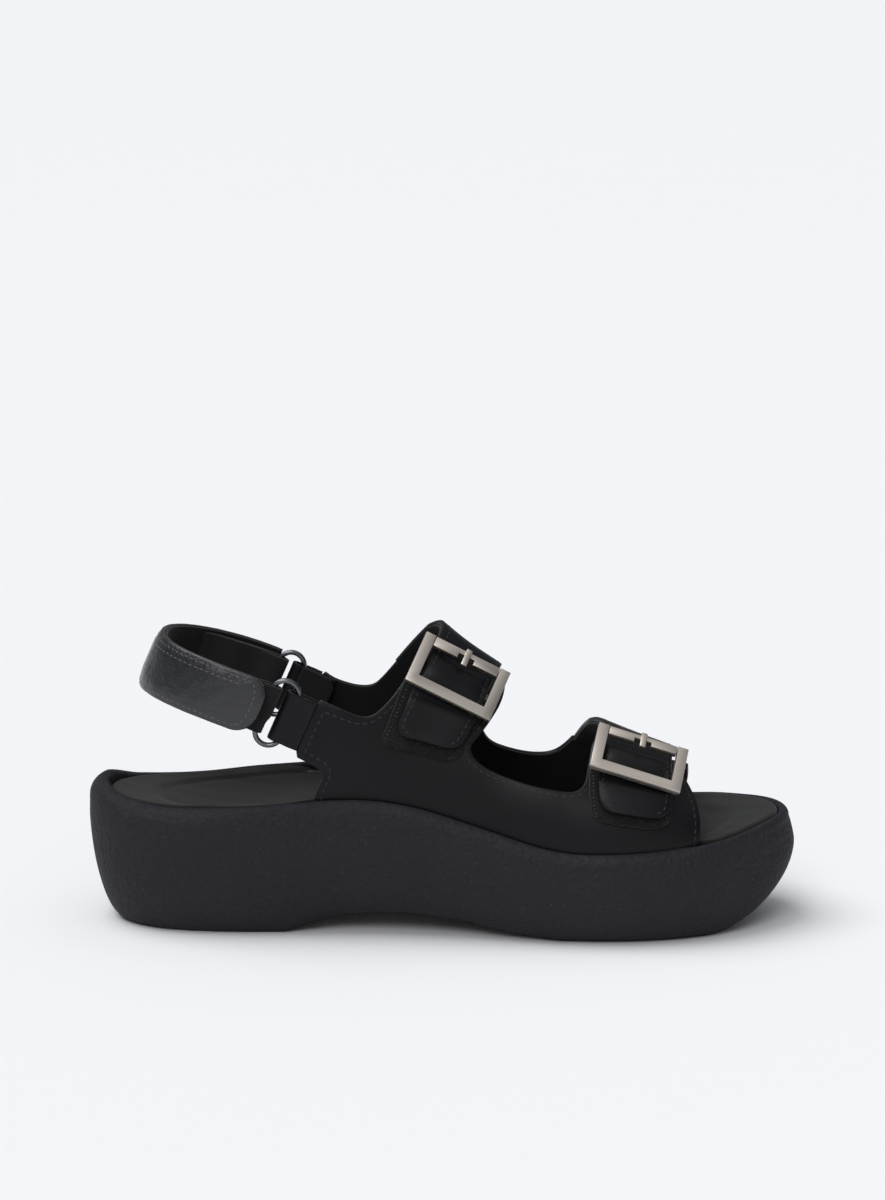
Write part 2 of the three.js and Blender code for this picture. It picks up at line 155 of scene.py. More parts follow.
def spaced(points: Sequence[Point], step: float, closed: bool = True) -> list[Point]:
    """Returns points about step apart along a line through the given points."""
    line = [Vector(p) for p in points] + ([Vector(points[0])] if closed else [])
    lengths = [0.0]
    for a, b in zip(line, line[1:]):
        lengths.append(lengths[-1] + (b - a).length)
    count = max(round(lengths[-1] / step), 2)
    result: list[Point] = []
    i = 0
    for k in range(count if closed else count + 1):
        goal = lengths[-1] * k / count
        while i < len(lengths) - 2 and lengths[i + 1] < goal:
            i += 1
        part = (goal - lengths[i]) / max(lengths[i + 1] - lengths[i], 1e-9)
        p = line[i].lerp(line[i + 1], part)
        result.append((p.x, p.y))
    return result


# ---------------------------------------------------------------- the sole's plan and the foot's form


@dataclass(frozen=True)
class SolePlan:
    """The curves that the sole, the footbed and the upper share."""

    half_length: float = 132.5
    near_fullness: Curve = Curve(
        ((-132.5, 62), (-110, 54), (-85, 46), (-45, 38.4), (0, 40), (30, 46.2), (70, 55.5), (100, 59.5),
         (132.5, 55))
    )
    far_fullness: Curve = Curve(
        ((-132.5, 62), (-110, 54), (-85, 45), (-45, 36), (0, 36), (30, 43.1), (70, 56), (100, 63),
         (132.5, 69))
    )
    crest: Curve = Curve(
        ((-127, 53.8), (-116, 49.4), (-95, 47.9), (-35, 52), (-12, 50), (14, 42.7), (41, 35.1), (64, 34.2),
         (101, 37.3), (132.5, 42.3))
    )
    arch: Curve = Curve(((-58, 0), (-40, 6.4), (-17, 8.2), (6, 6), (24, 2.5), (42, 0)))
    bed: Curve = Curve(
        ((-128, 40.3), (-95, 38.8), (-47, 41.3), (-23, 41.3), (14, 33.3), (41, 25.8), (64, 24.8),
         (90, 26.8), (128, 32.3))
    )
    spring_from: float = 98.0
    spring_reach: float = 28.0
    spring_rise: float = 13.0

    def ground(self, x: float) -> float:
        """Returns the height of the sole's underside at x."""
        spring = max(x - self.spring_from, 0) / self.spring_reach
        return self.arch(x) + self.spring_rise * spring * spring

    def outline(self, angle: float, inset: float) -> Point:
        """Returns the outline's point at an angle round the sole, set in from its widest line."""
        x = (self.half_length - inset) * math.cos(angle)
        v = math.sin(angle)
        fullness = self.near_fullness(x) if v < 0 else self.far_fullness(x)
        return x, v * (fullness - inset)

    def half_width(self, x: float, side: Side) -> float:
        """Returns the sole's half-width at x on one side."""
        u = clamp(x / self.half_length, -1, 1)
        angle = math.copysign(math.acos(u), side.value)
        return abs(self.outline(angle, 0)[1])

    def rim_inset(self, x: float) -> float:
        """Returns how far in from the widest line the rim's inner wall stands."""
        return 4 + 3.2 * smoothstep(-70, -95, x) + 2 * smoothstep(104, 122, x)


@dataclass(frozen=True)
class FootForm:
    """The foot's surface: sections that run from inside the rim up to a ridge and down again."""

    plan: SolePlan = SolePlan()
    ridge_x: Curve = Curve(
        ((-76, -34), (-56, -4.4), (-15.2, 21.8), (35.5, 54.8), (77.2, 87.6), (104, 110))
    )
    ridge_z: Curve = Curve(
        ((-34, 148), (-4.4, 110), (21.8, 90.2), (54.8, 71.9), (87.6, 58.9), (110, 52))
    )
    bulge: float = 0.2
    tuck: float = 9.4
    clearance: float = 1.3

    def point(self, base: float, around: float) -> Vector:
        """Returns the surface's point for a base station and an angle in degrees round the section."""
        phi = math.radians(around)
        rise = math.sin(phi)
        ridge = self.ridge_x(base)
        near = self.plan.half_width(base, Side.NEAR)
        far = self.plan.half_width(base, Side.FAR)
        spread = mix(near, far, smoothstep(0, 180, around)) - self.tuck
        floor = self.plan.bed(base) + self.clearance
        return Vector(
            (
                mix(base, ridge, rise),
                -spread * math.cos(phi) * (1 + self.bulge * rise),
                mix(floor, self.ridge_z(ridge), rise),
            )
        )

    def axes(self, base: float, around: float) -> tuple[Vector, Vector, Vector]:
        """Returns the directions along the foot, round it and out of it at a point of the surface."""
        along = (self.point(base + 1, around) - self.point(base - 1, around)).normalized()
        across = (self.point(base, around + 1) - self.point(base, around - 1)).normalized()
        return along, across, along.cross(across).normalized()

    def off(self, base: float, around: float, offset: float) -> Vector:
        """Returns the point that stands offset out from the surface."""
        return self.point(base, around) + self.axes(base, around)[2] * offset

    def station(self, x: float, z: float) -> Point:
        """Finds the base station and angle of a place given in side view on the surface.

        Args:
            x: Place along the sandal.
            z: Height.

        Returns:
            The base station and the angle in degrees, on the near side.
        """
        low, high = -120.0, 130.0
        for _ in range(40):
            base = (low + high) / 2
            floor = self.plan.bed(base) + self.clearance
            ridge = self.ridge_x(base)
            run = ridge - base
            climb = self.ridge_z(ridge) - floor
            if run * (z - floor) - climb * (x - base) > 0:
                high = base
            else:
                low = base
        floor = self.plan.bed(base) + self.clearance
        rise = clamp((z - floor) / (self.ridge_z(self.ridge_x(base)) - floor), -0.2, 1)
        return base, math.degrees(math.asin(rise))


PLAN = SolePlan()
FORM = FootForm()


# ---------------------------------------------------------------- shader maths


class Signal:
    """A shader socket that takes part in Python arithmetic."""

    def __init__(self, graph: "Graph", socket: bpy.types.NodeSocket) -> None:
        """Wraps an output socket of a graph's node."""
        self.graph = graph
        self.socket = socket

    def _math(self, operation: str, *values: "Signal | float", clamped: bool = False) -> "Signal":
        """Returns the result of a Math node on the values."""
        settings = {"operation": operation, "use_clamp": clamped}
        return self.graph.node("ShaderNodeMath", settings, dict(enumerate(values)))

    def __add__(self, other: "Signal | float") -> "Signal":
        """Adds a value."""
        return self._math("ADD", self, other)

    __radd__ = __add__

    def __sub__(self, other: "Signal | float") -> "Signal":
        """Takes a value away."""
        return self._math("SUBTRACT", self, other)

    def __rsub__(self, other: "Signal | float") -> "Signal":
        """Takes this away from a value."""
        return self._math("SUBTRACT", other, self)

    def __mul__(self, other: "Signal | float") -> "Signal":
        """Multiplies by a value."""
        return self._math("MULTIPLY", self, other)

    __rmul__ = __mul__

    def above(self, edge: float, softness: float) -> "Signal":
        """Returns 0 below an edge, 1 above it and a soft step between."""
        return self._math("MULTIPLY", self - (edge - softness / 2), 1 / softness, clamped=True)


def fill_ramp(ramp: bpy.types.ColorRamp, stops: Sequence[tuple[float, Sequence[float]]]) -> None:
    """Sets a colour ramp's stops, each a position and a colour."""
    while len(ramp.elements) < len(stops):
        ramp.elements.new(0.5)
    for element, (at, color) in zip(ramp.elements, stops):
        element.position = at
        element.color = (*color, 1)


class Graph:
    """One material's node tree, filled by expressions."""

    def __init__(self, name: str) -> None:
        """Starts a material with a plain principled shader."""
        self.material = bpy.data.materials.new(name)
        self.material.use_nodes = True
        self.tree = self.material.node_tree
        self.tree.nodes.clear()
        self.shader = self.tree.nodes.new("ShaderNodeBsdfPrincipled")
        output = self.tree.nodes.new("ShaderNodeOutputMaterial")
        self.tree.links.new(self.shader.outputs["BSDF"], output.inputs["Surface"])

    def node(
        self,
        kind: str,
        settings: dict[str, object] | None = None,
        inputs: dict[object, object] | None = None,
        output: int | str = 0,
    ) -> Signal:
        """Adds a node.

        Args:
            kind: The node's type.
            settings: Properties, set before anything is linked; "stops" fills a colour ramp.
            inputs: Socket names or numbers, with the values or signals that they take.
            output: The output socket to return.

        Returns:
            The node's output.
        """
        made = self.tree.nodes.new(kind)
        for key, value in (settings or {}).items():
            if key == "stops":
                fill_ramp(made.color_ramp, value)
            else:
                setattr(made, key, value)
        for key, value in (inputs or {}).items():
            self.put(made.inputs[key], value)
        return Signal(self, made.outputs[output])

    def put(self, socket: bpy.types.NodeSocket, value: object) -> None:
        """Gives a socket a value or links a signal to it."""
        if isinstance(value, Signal):
            self.tree.links.new(value.socket, socket)
        else:
            socket.default_value = value

    def place(self) -> Signal:
        """Returns the place in object coordinates, in metres."""
        return self.node("ShaderNodeTexCoord", output="Object")

    def noise(self, where: Signal, scale: float, detail: float = 2, rough: float = 0.5) -> Signal:
        """Returns noise from 0 to 1 with a grain of about 1/scale metres."""
        inputs = {"Vector": where, "Scale": scale, "Detail": detail, "Roughness": rough}
        return self.node("ShaderNodeTexNoise", {}, inputs)

    def cells(self, where: Signal, scale: float, feature: str = "F1") -> Signal:
        """Returns the distance pattern of scattered cells."""
        return self.node("ShaderNodeTexVoronoi", {"feature": feature}, {"Vector": where, "Scale": scale})

    def stretched(self, where: Signal, scale: Sequence[float], turn: Sequence[float] = (0, 0, 0)) -> Signal:
        """Returns the place turned and stretched."""
        return self.node("ShaderNodeMapping", {}, {"Vector": where, "Rotation": turn, "Scale": scale})

    def blend(self, share: Signal | float, a: Sequence[float], b: Sequence[float]) -> Signal:
        """Returns a colour between two colours or signals."""
        colors = [value if isinstance(value, Signal) else (*value, 1) for value in (a, b)]
        inputs = {"Factor": share, 6: colors[0], 7: colors[1]}
        return self.node("ShaderNodeMix", {"data_type": "RGBA"}, inputs, output=2)

    def bump(self, height: Signal, strength: float, depth: float) -> Signal:
        """Returns a normal bent by a height in metres times depth."""
        inputs = {"Height": height, "Strength": strength, "Distance": depth}
        return self.node("ShaderNodeBump", {}, inputs)

    def finish(self, **sockets: object) -> bpy.types.Material:
        """Sets the shader's sockets, named with underscores for spaces, and returns the material."""
        for name, value in sockets.items():
            self.put(self.shader.inputs[name.replace("_", " ")], value)
        return self.material


# ---------------------------------------------------------------- finishes


@dataclass(frozen=True)
class SmoothLeather:
    """Black, semi-gloss calf leather with fine pores and soft, wide creases."""

    name: str = "smooth_leather"
    dark: tuple[float, float, float] = (0.0016, 0.0016, 0.0023)
    light: tuple[float, float, float] = (0.0042, 0.0043, 0.0058)
    gloss: float = 0.4
    pores: float = 1500.0

    def material(self) -> bpy.types.Material:
        """Returns the finish's material."""
        graph = Graph(self.name)
        where = graph.place()
        wide = graph.noise(where, 60, 4)
        fine = graph.noise(where, 900, 3, 0.6)
        pores = graph.cells(where, self.pores)
        creases = graph.noise(graph.stretched(where, (1, 1, 0.35)), 260, 5, 0.65)
        height = pores * 0.35 + fine * 0.3 + creases * 0.5
        normal = graph.bump(height, 0.35, 0.00012)
        return graph.finish(
            Base_Color=graph.blend(wide * 0.7 + fine * 0.3, self.dark, self.light),
            Roughness=self.gloss - 0.08 + 0.16 * wide + 0.06 * fine,
            Normal=normal,
            Specular_IOR_Level=0.17,
            Coat_Weight=0.09,
            Coat_Roughness=0.24,
        )


@dataclass(frozen=True)
class CrinkledLeather:
    """Glossier leather with the crinkles of a strap that is bent and pulled."""

    name: str = "crinkled_leather"
    dark: tuple[float, float, float] = (0.004, 0.0044, 0.006)
    light: tuple[float, float, float] = (0.013, 0.014, 0.018)

    def material(self) -> bpy.types.Material:
        """Returns the finish's material."""
        graph = Graph(self.name)
        where = graph.place()
        warp = graph.noise(where, 130, 4, 0.6)
        crinkle = graph.noise(where, 330, 5, 0.62)
        cells = graph.cells(where, 620, "DISTANCE_TO_EDGE")
        fine = graph.noise(where, 1300, 3, 0.6)
        height = crinkle * 0.75 + warp * 0.9 + cells.above(0.06, 0.14) * 0.12 + fine * 0.12
        normal = graph.bump(height, 0.6, 0.0006)
        return graph.finish(
            Base_Color=graph.blend(warp * 0.5 + crinkle * 0.5, self.dark, self.light),
            Roughness=0.19 + 0.18 * warp + 0.08 * fine,
            Normal=normal,
            Specular_IOR_Level=0.55,
            Coat_Weight=0.3,
            Coat_Roughness=0.2,
        )


@dataclass(frozen=True)
class MouldedSole:
    """Matte charcoal moulded unit with a fine pebbled grain and scuffed high spots."""

    name: str = "moulded_sole"
    dark: tuple[float, float, float] = (0.0105, 0.0107, 0.0142)
    light: tuple[float, float, float] = (0.019, 0.0194, 0.0245)

    def material(self) -> bpy.types.Material:
        """Returns the finish's material."""
        graph = Graph(self.name)
        where = graph.place()
        wide = graph.noise(where, 24, 4, 0.6)
        pebble = graph.cells(where, 520, "SMOOTH_F1")
        grain = graph.noise(where, 700, 5, 0.65)
        broad = graph.noise(where, 160, 4, 0.6)
        height = pebble * 0.9 + grain * 0.8 + broad * 0.9
        normal = graph.bump(height, 0.8, 0.0009)
        specks = graph.noise(where, 2600, 2).above(0.71, 0.05)
        base = graph.blend(wide * 0.6 + grain * 0.4, self.dark, self.light)
        return graph.finish(
            Base_Color=graph.blend(specks * 0.5, base, (0.18, 0.18, 0.185)),
            Roughness=0.55 + 0.14 * broad + 0.1 * grain,
            Normal=normal,
            Specular_IOR_Level=0.24,
        )


@dataclass(frozen=True)
class NappedCloth:
    """Matte microfibre or pile, from smooth suede to fuzzy hook-and-loop."""

    name: str
    dark: tuple[float, float, float]
    light: tuple[float, float, float]
    grain: float = 1800.0
    depth: float = 0.0002
    speck: float = 0.0

    def material(self) -> bpy.types.Material:
        """Returns the finish's material."""
        graph = Graph(self.name)
        where = graph.place()
        nap = graph.noise(where, self.grain, 4, 0.7)
        mottle = graph.noise(where, 70, 5, 0.6)
        height = nap + mottle * 0.4
        base = graph.blend(nap * 0.5 + mottle * 0.5, self.dark, self.light)
        specks = graph.noise(where, 1500, 3, 0.6).above(0.72, 0.04)
        return graph.finish(
            Base_Color=graph.blend(specks * self.speck, base, (0.3, 0.3, 0.3)),
            Roughness=0.86 + 0.1 * nap,
            Normal=graph.bump(height, 0.6, self.depth),
            Sheen_Weight=0.12,
            Sheen_Roughness=0.5,
            Specular_IOR_Level=0.25,
        )


@dataclass(frozen=True)
class BrushedMetal:
    """Plated metal, brushed along the bars, with small scratches and darker pits."""

    name: str
    color: tuple[float, float, float]
    shade: tuple[float, float, float]
    rough: float = 0.34
    lean: float = 0.5

    def material(self) -> bpy.types.Material:
        """Returns the finish's material."""
        graph = Graph(self.name)
        where = graph.place()
        lines = graph.noise(graph.stretched(where, (0.12, 1, 1), (0, self.lean, 0)), 3200, 4, 0.6)
        cloud = graph.noise(where, 180, 4, 0.6)
        return graph.finish(
            Base_Color=graph.blend(cloud * 0.6 + lines * 0.4, self.color, self.shade),
            Roughness=self.rough - 0.08 + 0.14 * lines + 0.1 * cloud,
            Metallic=1.0,
            Normal=graph.bump(lines + cloud * 0.5, 0.22, 0.00008),
        )


@dataclass(frozen=True)
class PlainStock:
    """A hidden layer's plain stock, such as board or foam, with its fibres or cells."""

    name: str
    dark: tuple[float, float, float]
    light: tuple[float, float, float]
    grain: float = 900.0

    def material(self) -> bpy.types.Material:
        """Returns the finish's material."""
        graph = Graph(self.name)
        where = graph.place()
        grain = graph.noise(where, self.grain, 5, 0.7)
        return graph.finish(
            Base_Color=graph.blend(grain, self.dark, self.light),
            Roughness=0.8 + 0.15 * grain,
            Normal=graph.bump(grain, 0.5, 0.0003),
        )


class Finishes:
    """Makes each finish's material once and hands it out by name."""

    def __init__(self) -> None:
        """Builds the sandal's materials."""
        stock = (
            SmoothLeather(),
            CrinkledLeather(),
            MouldedSole(),
            NappedCloth("lining_cloth", (0.0015, 0.0015, 0.0018), (0.0045, 0.0045, 0.005), 1500, 0.00012),
            NappedCloth("rough_split", (0.004, 0.004, 0.0045), (0.013, 0.013, 0.014), 700, 0.0006, 0.05),
            NappedCloth(
                "footbed_suede", (0.006, 0.0063, 0.006), (0.0145, 0.015, 0.0145), 1700, 0.00018, 0.35
            ),
            NappedCloth("pile", (0.003, 0.003, 0.003), (0.014, 0.014, 0.0145), 900, 0.0007, 0.4),
            BrushedMetal("brushed_nickel", (0.62, 0.565, 0.5), (0.5, 0.455, 0.4)),
            BrushedMetal("dark_nickel", (0.17, 0.18, 0.19), (0.1, 0.105, 0.11), 0.2),
            BrushedMetal("plain_steel", (0.5, 0.5, 0.5), (0.36, 0.36, 0.36), 0.4),
            PlainStock("fibre_board", (0.16, 0.1, 0.055), (0.3, 0.2, 0.12)),
            PlainStock("footbed_foam", (0.07, 0.07, 0.07), (0.13, 0.13, 0.13), 1400),
            PlainStock("thread", (0.012, 0.012, 0.013), (0.035, 0.036, 0.038), 2200),
            PlainStock("pale_thread", (0.05, 0.051, 0.054), (0.14, 0.143, 0.15), 2200),
            PlainStock("fuzz", (0.004, 0.004, 0.004), (0.06, 0.06, 0.06), 700),
        )
        self.made = {finish.name: finish.material() for finish in stock}

    def __getitem__(self, name: str) -> bpy.types.Material:
        """Returns the named material."""
        return self.made[name]


# ---------------------------------------------------------------- mesh helpers


def finish_mesh(
    bm: bmesh.types.BMesh, name: str, material: bpy.types.Material, sharp_above: float = 50.0
) -> bpy.types.Object:
    """Turns a closed bmesh in millimetres into a piece in metres.

    Args:
        bm: The piece's mesh, freed here.
        name: The piece's name.
        material: The piece's material.
        sharp_above: Angle in degrees past which an edge stays sharp.

    Returns:
        The linked object.
    """
    bmesh.ops.recalc_face_normals(bm, faces=bm.faces)
    for edge in bm.edges:
        angle = edge.calc_face_angle(0.0) if len(edge.link_faces) == 2 else 0.0
        edge.smooth = angle < math.radians(sharp_above)
    for face in bm.faces:
        face.smooth = True
    bmesh.ops.scale(bm, vec=(MM, MM, MM), verts=bm.verts)
    mesh = bpy.data.meshes.new(name)
    bm.to_mesh(mesh)
    bm.free()
    mesh.materials.append(material)
    piece = bpy.data.objects.new(name, mesh)
    bpy.context.scene.collection.objects.link(piece)
    return piece


def clipped(points: Sequence[Point], limit: float, below: bool) -> list[Point]:
    """Returns the part of an outline below or above a value of its second coordinate."""
    sign = 1 if below else -1
    kept: list[Point] = []
    for (u0, v0), (u1, v1) in zip(points, list(points[1:]) + [points[0]]):
        inside0, inside1 = sign * v0 <= sign * limit, sign * v1 <= sign * limit
        if inside0:
            kept.append((u0, v0))
        if inside0 != inside1:
            kept.append((mix(u0, u1, (limit - v0) / (v1 - v0)), limit))
    return kept


@dataclass
class Outline:
    """An outline in a flat field of stations, that a panel is trimmed to."""

    points: Sequence[Point]

    def runs(self) -> tuple[np.ndarray, np.ndarray]:
        """Returns the outline's edges as start points and runs."""
        start = np.array(self.points)
        return start, np.roll(start, -1, axis=0) - start

    def inside(self, where: np.ndarray) -> np.ndarray:
        """Returns which places lie inside the outline."""
        start, run = self.runs()
        end = start + run
        y = where[:, 1][:, None]
        crosses = (start[:, 1] > y) != (end[:, 1] > y)
        with np.errstate(divide="ignore", invalid="ignore"):
            x = start[:, 0] + run[:, 0] * (y - start[:, 1]) / run[:, 1]
        return (crosses & (where[:, 0][:, None] < x)).sum(axis=1) % 2 == 1

    def nearest(self, where: np.ndarray) -> tuple[np.ndarray, np.ndarray]:
        """Returns the outline's nearest point to each place, and the distance to it."""
        start, run = self.runs()
        away = where[:, None, :] - start[None]
        share = np.clip((away * run).sum(axis=2) / np.maximum((run * run).sum(axis=1), 1e-12), 0, 1)
        near = start[None] + share[..., None] * run[None]
        distance = np.linalg.norm(where[:, None, :] - near, axis=2)
        best = distance.argmin(axis=1)
        rows = np.arange(len(where))
        return near[rows, best], distance[rows, best]

    def inset(self, depth: float, step: float = 1.0) -> list[Point]:
        """Returns the line that runs inside the outline at a depth."""
        line = spaced(self.points, step)
        result: list[Point] = []
        for i, (u, v) in enumerate(line):
            before, after = line[i - 1], line[(i + 1) % len(line)]
            run = Vector((after[0] - before[0], after[1] - before[1])).normalized()
            for sign in (1, -1):
                spot = np.array([[u - sign * run.y * depth, v + sign * run.x * depth]])
                if self.inside(spot)[0] and self.nearest(spot)[1][0] > depth * 0.93:
                    result.append((float(spot[0, 0]), float(spot[0, 1])))
        return result


class Panel:
    """A closed sheet, made flat as a slab of unit depth and then laid in place.

    The slab's first two coordinates are stations on the surface.
    Its depth is 0 at the face and 1 at the back.
    """

    def __init__(self, columns: Sequence[float], rows: Sequence[float]) -> None:
        """Makes the flat grid with the given stations."""
        self.mesh = bmesh.new()
        self.cell = abs(columns[1] - columns[0])
        self.area = 0.0
        across, along = len(columns) - 1, len(rows) - 1
        bmesh.ops.create_grid(self.mesh, x_segments=across, y_segments=along, size=0.5)
        for vert in self.mesh.verts:
            column = round((vert.co.x + 0.5) * across)
            row = round((vert.co.y + 0.5) * along)
            vert.co = (columns[column], rows[row], 0)

    def trim(self, outline: Outline) -> "Panel":
        """Cuts the grid to an outline: cells outside go, and the border moves onto the outline."""
        bm = self.mesh
        verts = list(bm.verts)
        where = np.array([vert.co.xy for vert in verts])
        inside = outline.inside(where)
        near, distance = outline.nearest(where)
        keep = {vert: bool(inside[i] or distance[i] < self.cell * 0.42) for i, vert in enumerate(verts)}
        target = {vert: near[i] for i, vert in enumerate(verts)}
        beyond = {vert for i, vert in enumerate(verts) if not inside[i]}
        gone = [face for face in bm.faces if not all(keep[vert] for vert in face.verts)]
        bmesh.ops.delete(bm, geom=gone, context="FACES")
        border = {vert for edge in bm.edges if len(edge.link_faces) == 1 for vert in edge.verts}
        for vert in bm.verts:
            if vert in border or vert in beyond:
                vert.co.xy = target[vert]
        inner = [vert for vert in bm.verts if vert not in border and vert not in beyond]
        for _ in range(3):
            bmesh.ops.smooth_vert(bm, verts=inner, factor=0.4, use_axis_x=True, use_axis_y=True)
        bmesh.ops.remove_doubles(bm, verts=list(border), dist=self.cell * 0.35)
        return self

    def punch(self, gone: Callable[[float, float], bool]) -> "Panel":
        """Removes the cells whose middle meets a condition."""
        faces = [face for face in self.mesh.faces if gone(*face.calc_center_median().xy)]
        bmesh.ops.delete(self.mesh, geom=faces, context="FACES")
        return self

    def lay(self, place: Layered, round_off: float = 0.3, segments: int = 2) -> bmesh.types.BMesh:
        """Thickens the sheet, lays it in place and rounds its cut edges.

        Args:
            place: Gives the point for two stations and a depth.
            round_off: Size of the rounding, or 0 for none.
            segments: Steps of the rounding.

        Returns:
            The closed mesh in place.
        """
        bm = self.mesh
        made = bmesh.ops.extrude_face_region(bm, geom=bm.faces[:])["geom"]
        for item in made:
            if isinstance(item, bmesh.types.BMVert):
                item.co.z = 1
        bm.normal_update()
        rim = [edge for edge in bm.edges if self._on_rim(edge)]
        faces = [face for face in bm.faces if all(vert.co.z < 0.5 for vert in face.verts)]
        for vert in bm.verts:
            vert.co = place(*vert.co)
        self.area = sum(face.calc_area() for face in faces)
        bmesh.ops.recalc_face_normals(bm, faces=bm.faces)
        if round_off:
            bmesh.ops.bevel(
                bm, geom=rim, offset=round_off, segments=segments, profile=0.5, affect="EDGES", material=-1
            )
        return bm

    @staticmethod
    def _on_rim(edge: bmesh.types.BMEdge) -> bool:
        """Returns whether an edge of the flat slab joins its face or its back to its side."""
        level = abs(edge.verts[0].co.z - edge.verts[1].co.z) < 0.5
        return level and len(edge.link_faces) == 2 and edge.calc_face_angle(0.0) > 1.0


def loft(rings: Sequence[Callable[[float], Vector]], around: int) -> bmesh.types.BMesh:
    """Joins closed rings of points into a closed skin.

    Args:
        rings: For each ring, the point at an angle round it. The first and last are closed in their middle.
        around: Points in each ring.

    Returns:
        The skin.
    """
    bm = bmesh.new()
    current = bmesh.ops.create_circle(bm, cap_ends=False, segments=around, radius=1)["verts"]
    angle_of = {vert: math.atan2(vert.co.y, vert.co.x) for vert in current}
    edges = first = list(bm.edges)
    for vert, angle in angle_of.items():
        vert.co = rings[0](angle)
    for ring in rings[1:]:
        made = bmesh.ops.extrude_edge_only(bm, edges=edges)["geom"]
        fresh = {item for item in made if isinstance(item, bmesh.types.BMVert)}
        edges = [
            item
            for item in made
            if isinstance(item, bmesh.types.BMEdge) and all(vert in fresh for vert in item.verts)
        ]
        for vert in fresh:
            root = next(e.other_vert(vert) for e in vert.link_edges if e.other_vert(vert) not in fresh)
            angle_of[vert] = angle_of[root]
            vert.co = ring(angle_of[vert])
    for ends in (first, edges):
        cap = bmesh.ops.edgeloop_fill(bm, edges=ends)["faces"]
        bmesh.ops.poke(bm, faces=cap)
    return bm


def sweep(path: Sequence[Vector], radius: float, sides: int = 10) -> bmesh.types.BMesh:
    """Draws a round wire along a flat closed path.

    Args:
        path: The wire's centre line.
        radius: The wire's radius.
        sides: Sides of its section.

    Returns:
        The wire's skin.
    """
    count = len(path)
    normal = (path[count // 3] - path[0]).cross(path[2 * count // 3] - path[0]).normalized()
    bm = bmesh.new()
    loops: list[list[bmesh.types.BMEdge]] = []
    for i, centre in enumerate(path):
        tangent = (path[(i + 1) % count] - path[i - 1]).normalized()
        basis = Matrix((tangent.cross(normal), normal, tangent)).transposed().to_4x4()
        matrix = Matrix.Translation(centre) @ basis
        ring = bmesh.ops.create_circle(bm, segments=sides, radius=radius, matrix=matrix)["verts"]
        loops.append(list({edge for vert in ring for edge in vert.link_edges}))
    for a, b in zip(loops, loops[1:] + loops[:1]):
        bmesh.ops.bridge_loops(bm, edges=a + b)
    return bm


def block(bm: bmesh.types.BMesh, size: Sequence[float], at: Sequence[float], round_off: float) -> None:
    """Adds a block with rounded edges.

    Args:
        bm: The mesh that it is added to.
        size: The block's three sizes.
        at: The block's middle.
        round_off: Size of the rounding.
    """
    matrix = Matrix.Translation(at) @ Matrix.Diagonal((*size, 1))
    made = bmesh.ops.create_cube(bm, size=1, matrix=matrix)["verts"]
    edges = list({edge for vert in made for edge in vert.link_edges})
    bmesh.ops.bevel(bm, geom=edges, offset=round_off, segments=2, profile=0.5, affect="EDGES", material=-1)


def join(target: bmesh.types.BMesh, other: bmesh.types.BMesh) -> None:
    """Moves all of another mesh into a mesh and frees the other."""
    mesh = bpy.data.meshes.new("join")
    other.to_mesh(mesh)
    other.free()
    target.from_mesh(mesh)
    bpy.data.meshes.remove(mesh)


class Seam:
    """Rows of real stitches, gathered into one piece."""

    def __init__(self, length: float = 2.0, thick: float = 0.3, pitch: float = 2.9) -> None:
        """Sets the stitches' length, half-thickness and spacing."""
        self.mesh = bmesh.new()
        self.length = length
        self.thick = thick
        self.pitch = pitch

    def row(self, points: Sequence[Point], place: Layered, sink: float = 0.05) -> "Seam":
        """Sews along a line of stations on a panel's face.

        Args:
            points: The line's stations.
            place: The panel's placing.
            sink: How far the thread's middle lies into the face.

        Returns:
            The seam itself.
        """
        left = self.pitch / 2
        run = [place(u, v, 0) for u, v in points]
        for i in range(len(run) - 1):
            leg = run[i + 1] - run[i]
            if leg.length > 3 * self.pitch:
                continue
            while left <= leg.length and leg.length > 1e-6:
                t = left / leg.length
                u, v = (mix(points[i][k], points[i + 1][k], t) for k in (0, 1))
                self._stitch(run[i].lerp(run[i + 1], t), leg.normalized(), face_normal(place, u, v), sink)
                left += self.pitch
            left -= leg.length
        return self

    def _stitch(self, at: Vector, way: Vector, out: Vector, sink: float) -> None:
        """Adds one stitch at a place, along a direction."""
        way = (way - out * way.dot(out)).normalized()
        basis = Matrix((out, out.cross(way) * -1, way)).transposed().to_4x4()
        size = Matrix.Diagonal((self.thick * 0.8, self.thick, self.length / 2, 1))
        matrix = Matrix.Translation(at - out * sink) @ basis @ size
        bmesh.ops.create_uvsphere(self.mesh, u_segments=6, v_segments=4, radius=1, matrix=matrix)

    def piece(self, name: str, material: bpy.types.Material) -> bpy.types.Object:
        """Returns the stitches as one piece."""
        return finish_mesh(self.mesh, name, material, 180)


def face_normal(place: Layered, u: float, v: float, step: float = 0.02) -> Vector:
    """Returns the direction out of a panel's face."""
    du = place(u + step, v, 0) - place(u - step, v, 0)
    dv = place(u, v + step, 0) - place(u, v - step, 0)
    normal = du.cross(dv).normalized()
    outward = place(u, v, 0) - place(u, v, 1)
    return normal if normal.dot(outward) > 0 else -normal


def attach(piece: bpy.types.Object, body: str, slot: str, *nodes: str) -> None:
    """Rides a piece on a body and hides the CAD nodes that it stands for."""
    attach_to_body(piece, body)
    if nodes:
        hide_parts(*nodes)
    LOG.info("%s rides on %s", piece.name, body)


def declare(
    panel: Panel,
    width: float,
    filled: float = 1.0,
) -> None:
    """Works out a sheet's cut length from its area, and keeps nothing.

    Args:
        panel: The panel that it was made from.
        width: The cut's width.
        filled: The share of its rectangle that the cut fills.
    """
    length = panel.area / (width * filled)
    width * MM
    length * MM
    panel.area * MM * MM


